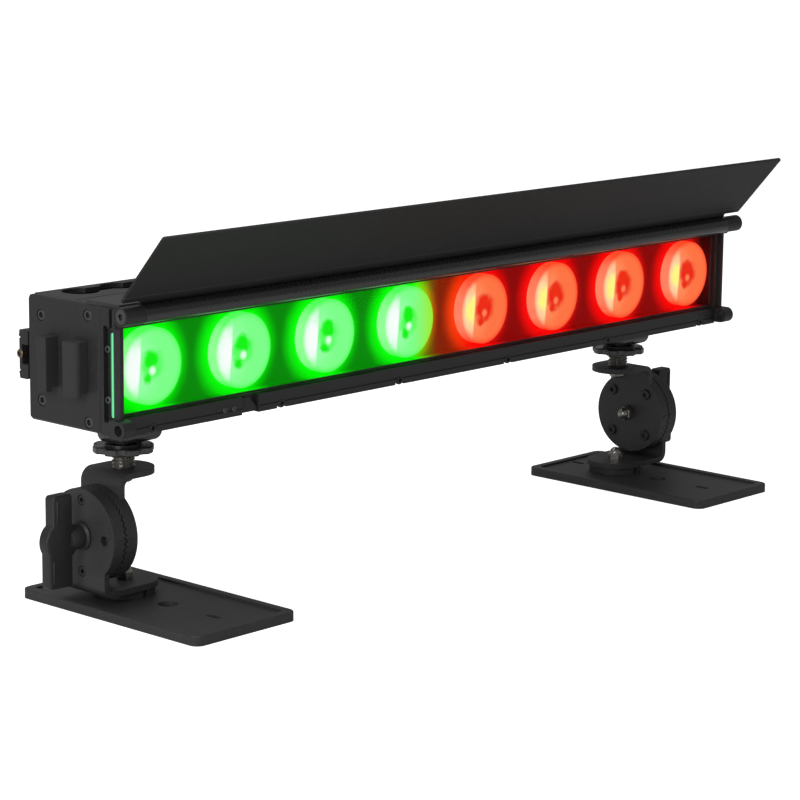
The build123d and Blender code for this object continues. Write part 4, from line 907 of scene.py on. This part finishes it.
def lens_glow():
    """A disc with a painted highlight, a bright crescent at the left, a darker eye and an edge like
    the halo's.
    """
    material, tree, surface = glowing("lens_glow", 0.02)
    along, right, high = pixel_frame(tree)
    side = ease(tree, along, -SEAM, SEAM)
    rough = ragged(tree, *LENS_RAGGED)

    def blot(centre, start, end, stretch=1.0):
        away = maths(tree, "ADD", distance(tree, right, high, centre, stretch), rough)
        return ease(tree, away, start, end, 1.0, 0.0)

    def green_or_red(layer):
        return between(tree, side, *LENS_COLOURS[layer])

    disc = green_or_red("disc")
    glow = maths(tree, "MULTIPLY", blot(*SOFT_GLOW), 0.5)
    disc = between(tree, glow, disc, green_or_red("glow"))
    eye = blot(*EYE)
    disc = between(tree, eye, disc, green_or_red("eye"))
    patches = maths(tree, "MAXIMUM", blot(*UPPER_PATCH), blot(*LOWER_PATCH))
    disc = between(tree, patches, disc, green_or_red("patches"))
    spot = ease(tree, distance(tree, right, high, SPOT_CENTRE), *SPOT_EDGE)
    disc = between(tree, spot, disc, green_or_red("spot"))
    slant = maths(tree, "ADD", right, maths(tree, "MULTIPLY", high, CRESCENT_SLANT))
    cut = ease(tree, slant, *CRESCENT_CUT)
    crescent = maths(tree, "MULTIPLY", cut, blot(*CRESCENT))
    disc = between(tree, crescent, disc, green_or_red("crescent"))
    core = maths(tree, "MULTIPLY", cut, blot(*CRESCENT_CORE))
    disc = between(tree, core, disc, green_or_red("core"))
    rim = ease(tree, distance(tree, right, high), *RIM_EDGE)
    disc = between(tree, rim, disc, green_or_red("rim"))
    warm = ease(tree, along, *WARM_RISE)
    warm = maths(tree, "MULTIPLY", warm, maths(tree, "SUBTRACT", 1.0, side))
    disc = between(tree, maths(tree, "MULTIPLY", warm, WARM_SHARE), disc, WARM_TINT)
    tree.links.new(disc, surface.inputs["Emission Color"])
    return material


def pane():
    material, tree, surface = new_material("clear_pane")
    surface.inputs["Base Color"].default_value = (0.02, 0.02, 0.02, 1.0)
    surface.inputs["Alpha"].default_value = 0.04
    gloss = ease(tree, noise(tree, 30 * MM), 0.3, 0.7, 0.03, 0.08)
    tree.links.new(gloss, surface.inputs["Roughness"])
    return material


dress(tray_glow(), "lens_tray")
dress(lens_glow(), "lenses")
dress(pane(), "front_glass")
board = coating("white_board", (0.7, 0.7, 0.68, 1.0), 0.5, 0.4, 0.5 * MM, 0.01 * MM)
dress(board, "led_board")
phosphor = coating("phosphor", (0.8, 0.7, 0.2, 1.0), 0.3, 0.5, 0.5 * MM, 0.01 * MM)
dress(phosphor, "led_emitters")


# Edge lights
# A strip stands proud of the slot in each door bracket and glows with painted light, standing in
# for the light that leaves the end of the tray.
# The pocket's front wall would hide a strip that ended in the slot, so its depth is a workaround.
EDGE_START = 1.5 * MM
EDGE_WIDTH = 2.5 * MM
EDGE_HALF = 21.0 * MM
EDGE_DROP = 0.9 * MM
EDGE_DEEP = 4.65 * MM
EDGE_GAP = 0.05 * MM
EDGE_STEPS = 8
EDGE_LINE = (0.3 * MM, 1.1 * MM, 1.0, 0.0)
EDGE_WAVER = 0.3 * MM
EDGE_TIP = (0.4 * MM, 0.1 * MM)
EDGE_SIDE_SHARE = 0.12
EDGE_COLOURS = {
    "left": ((0.2, 0.85, 0.4, 1.0), (0.02, 0.26, 0.09, 1.0)),
    "right": ((0.5, 0.02, 0.01, 1.0), (0.1, 0.004, 0.003, 1.0)),
}


def strip_glow(side):
    """Bright along the middle of the strip's outer end, and nearly dark on its sides."""
    bright, dim = EDGE_COLOURS[side]
    material, tree, surface = glowing(f"{side}_strip_glow", 0.02)
    parts = tree.nodes.new("ShaderNodeSeparateXYZ")
    tree.links.new(tree.nodes.new("ShaderNodeTexCoord").outputs["Object"], parts.inputs[0])
    middle = bar_low.y + EDGE_START + EDGE_WIDTH / 2
    off = maths(tree, "ABSOLUTE", maths(tree, "SUBTRACT", parts.outputs["Y"], middle))
    off = maths(tree, "ADD", off, maths(tree, "MULTIPLY", noise(tree, 8 * MM), EDGE_WAVER))
    line = ease(tree, off, *EDGE_LINE)
    outer = bar_high.x + EDGE_DEEP
    away = maths(tree, "ABSOLUTE", parts.outputs["X"])
    end = ease(tree, away, outer - EDGE_TIP[0], outer - EDGE_TIP[1])
    lit = between(tree, line, dim, bright)
    colour = between(tree, end, scaled(dim, EDGE_SIDE_SHARE), lit)
    tree.links.new(colour, surface.inputs["Emission Color"])
    return material


bar_low, bar_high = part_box("housing")
radius = EDGE_WIDTH / 2
middle_y = bar_low.y + EDGE_START + radius
middle_z = PIXEL_Z - EDGE_DROP
outline = arc((middle_y, middle_z + EDGE_HALF - radius), radius, 0, 180, EDGE_STEPS)
outline += arc((middle_y, middle_z - EDGE_HALF + radius), radius, 180, 360, EDGE_STEPS)
for side, way in SIDES:
    inner_x = way * (bar_high.x + EDGE_GAP)
    shape = bmesh.new()
    rings = []
    for x in (inner_x, inner_x + way * EDGE_DEEP):
        rings.append([shape.verts.new((x, y, z)) for y, z in outline])
    bridge(shape, rings)
    mesh = finished_mesh("edge_light", shape, strip_glow(side))
    placed(f"{side}_edge_light", mesh, "bar", "lens")


# Rear controls
# A moulded panel with a dark display window, four buttons and a locking power inlet.
panel_plastic = coating("panel_plastic", (0.02, 0.02, 0.02, 1.0), 0.55, 0.4, 0.6 * MM, 0.04 * MM)
dress(panel_plastic, "control_panel", "button_1", "button_2", "button_3", "button_4")
display = coating("display_window", (0.004, 0.004, 0.006, 1.0), 0.1, 0.5, 0.6 * MM, 0.0)
dress(display, "display_window")
inlet_plastic = coating("inlet_plastic", (0.03, 0.08, 0.25, 1.0), 0.45, 0.4, 0.6 * MM, 0.03 * MM)
dress(inlet_plastic, "power_inlet")


# Power and drive
# A shrink-wrapped battery pack and the driver board, closed inside the housing.
wrap = coating("battery_wrap", (0.02, 0.05, 0.2, 1.0), 0.3, 0.5, 6 * MM, 0.2 * MM)
dress(wrap, "battery_pack")
mask = coating("driver_solder_mask", (0.01, 0.12, 0.04, 1.0), 0.4, 0.5, 2 * MM, 0.02 * MM)
dress(mask, "driver_board")


# Sizes
# The CAD box and the dressed object's box, for comparing.
visual_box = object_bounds()
sizes = {"cad": [list(p) for p in cad_box], "visual": [list(p) for p in visual_box]}
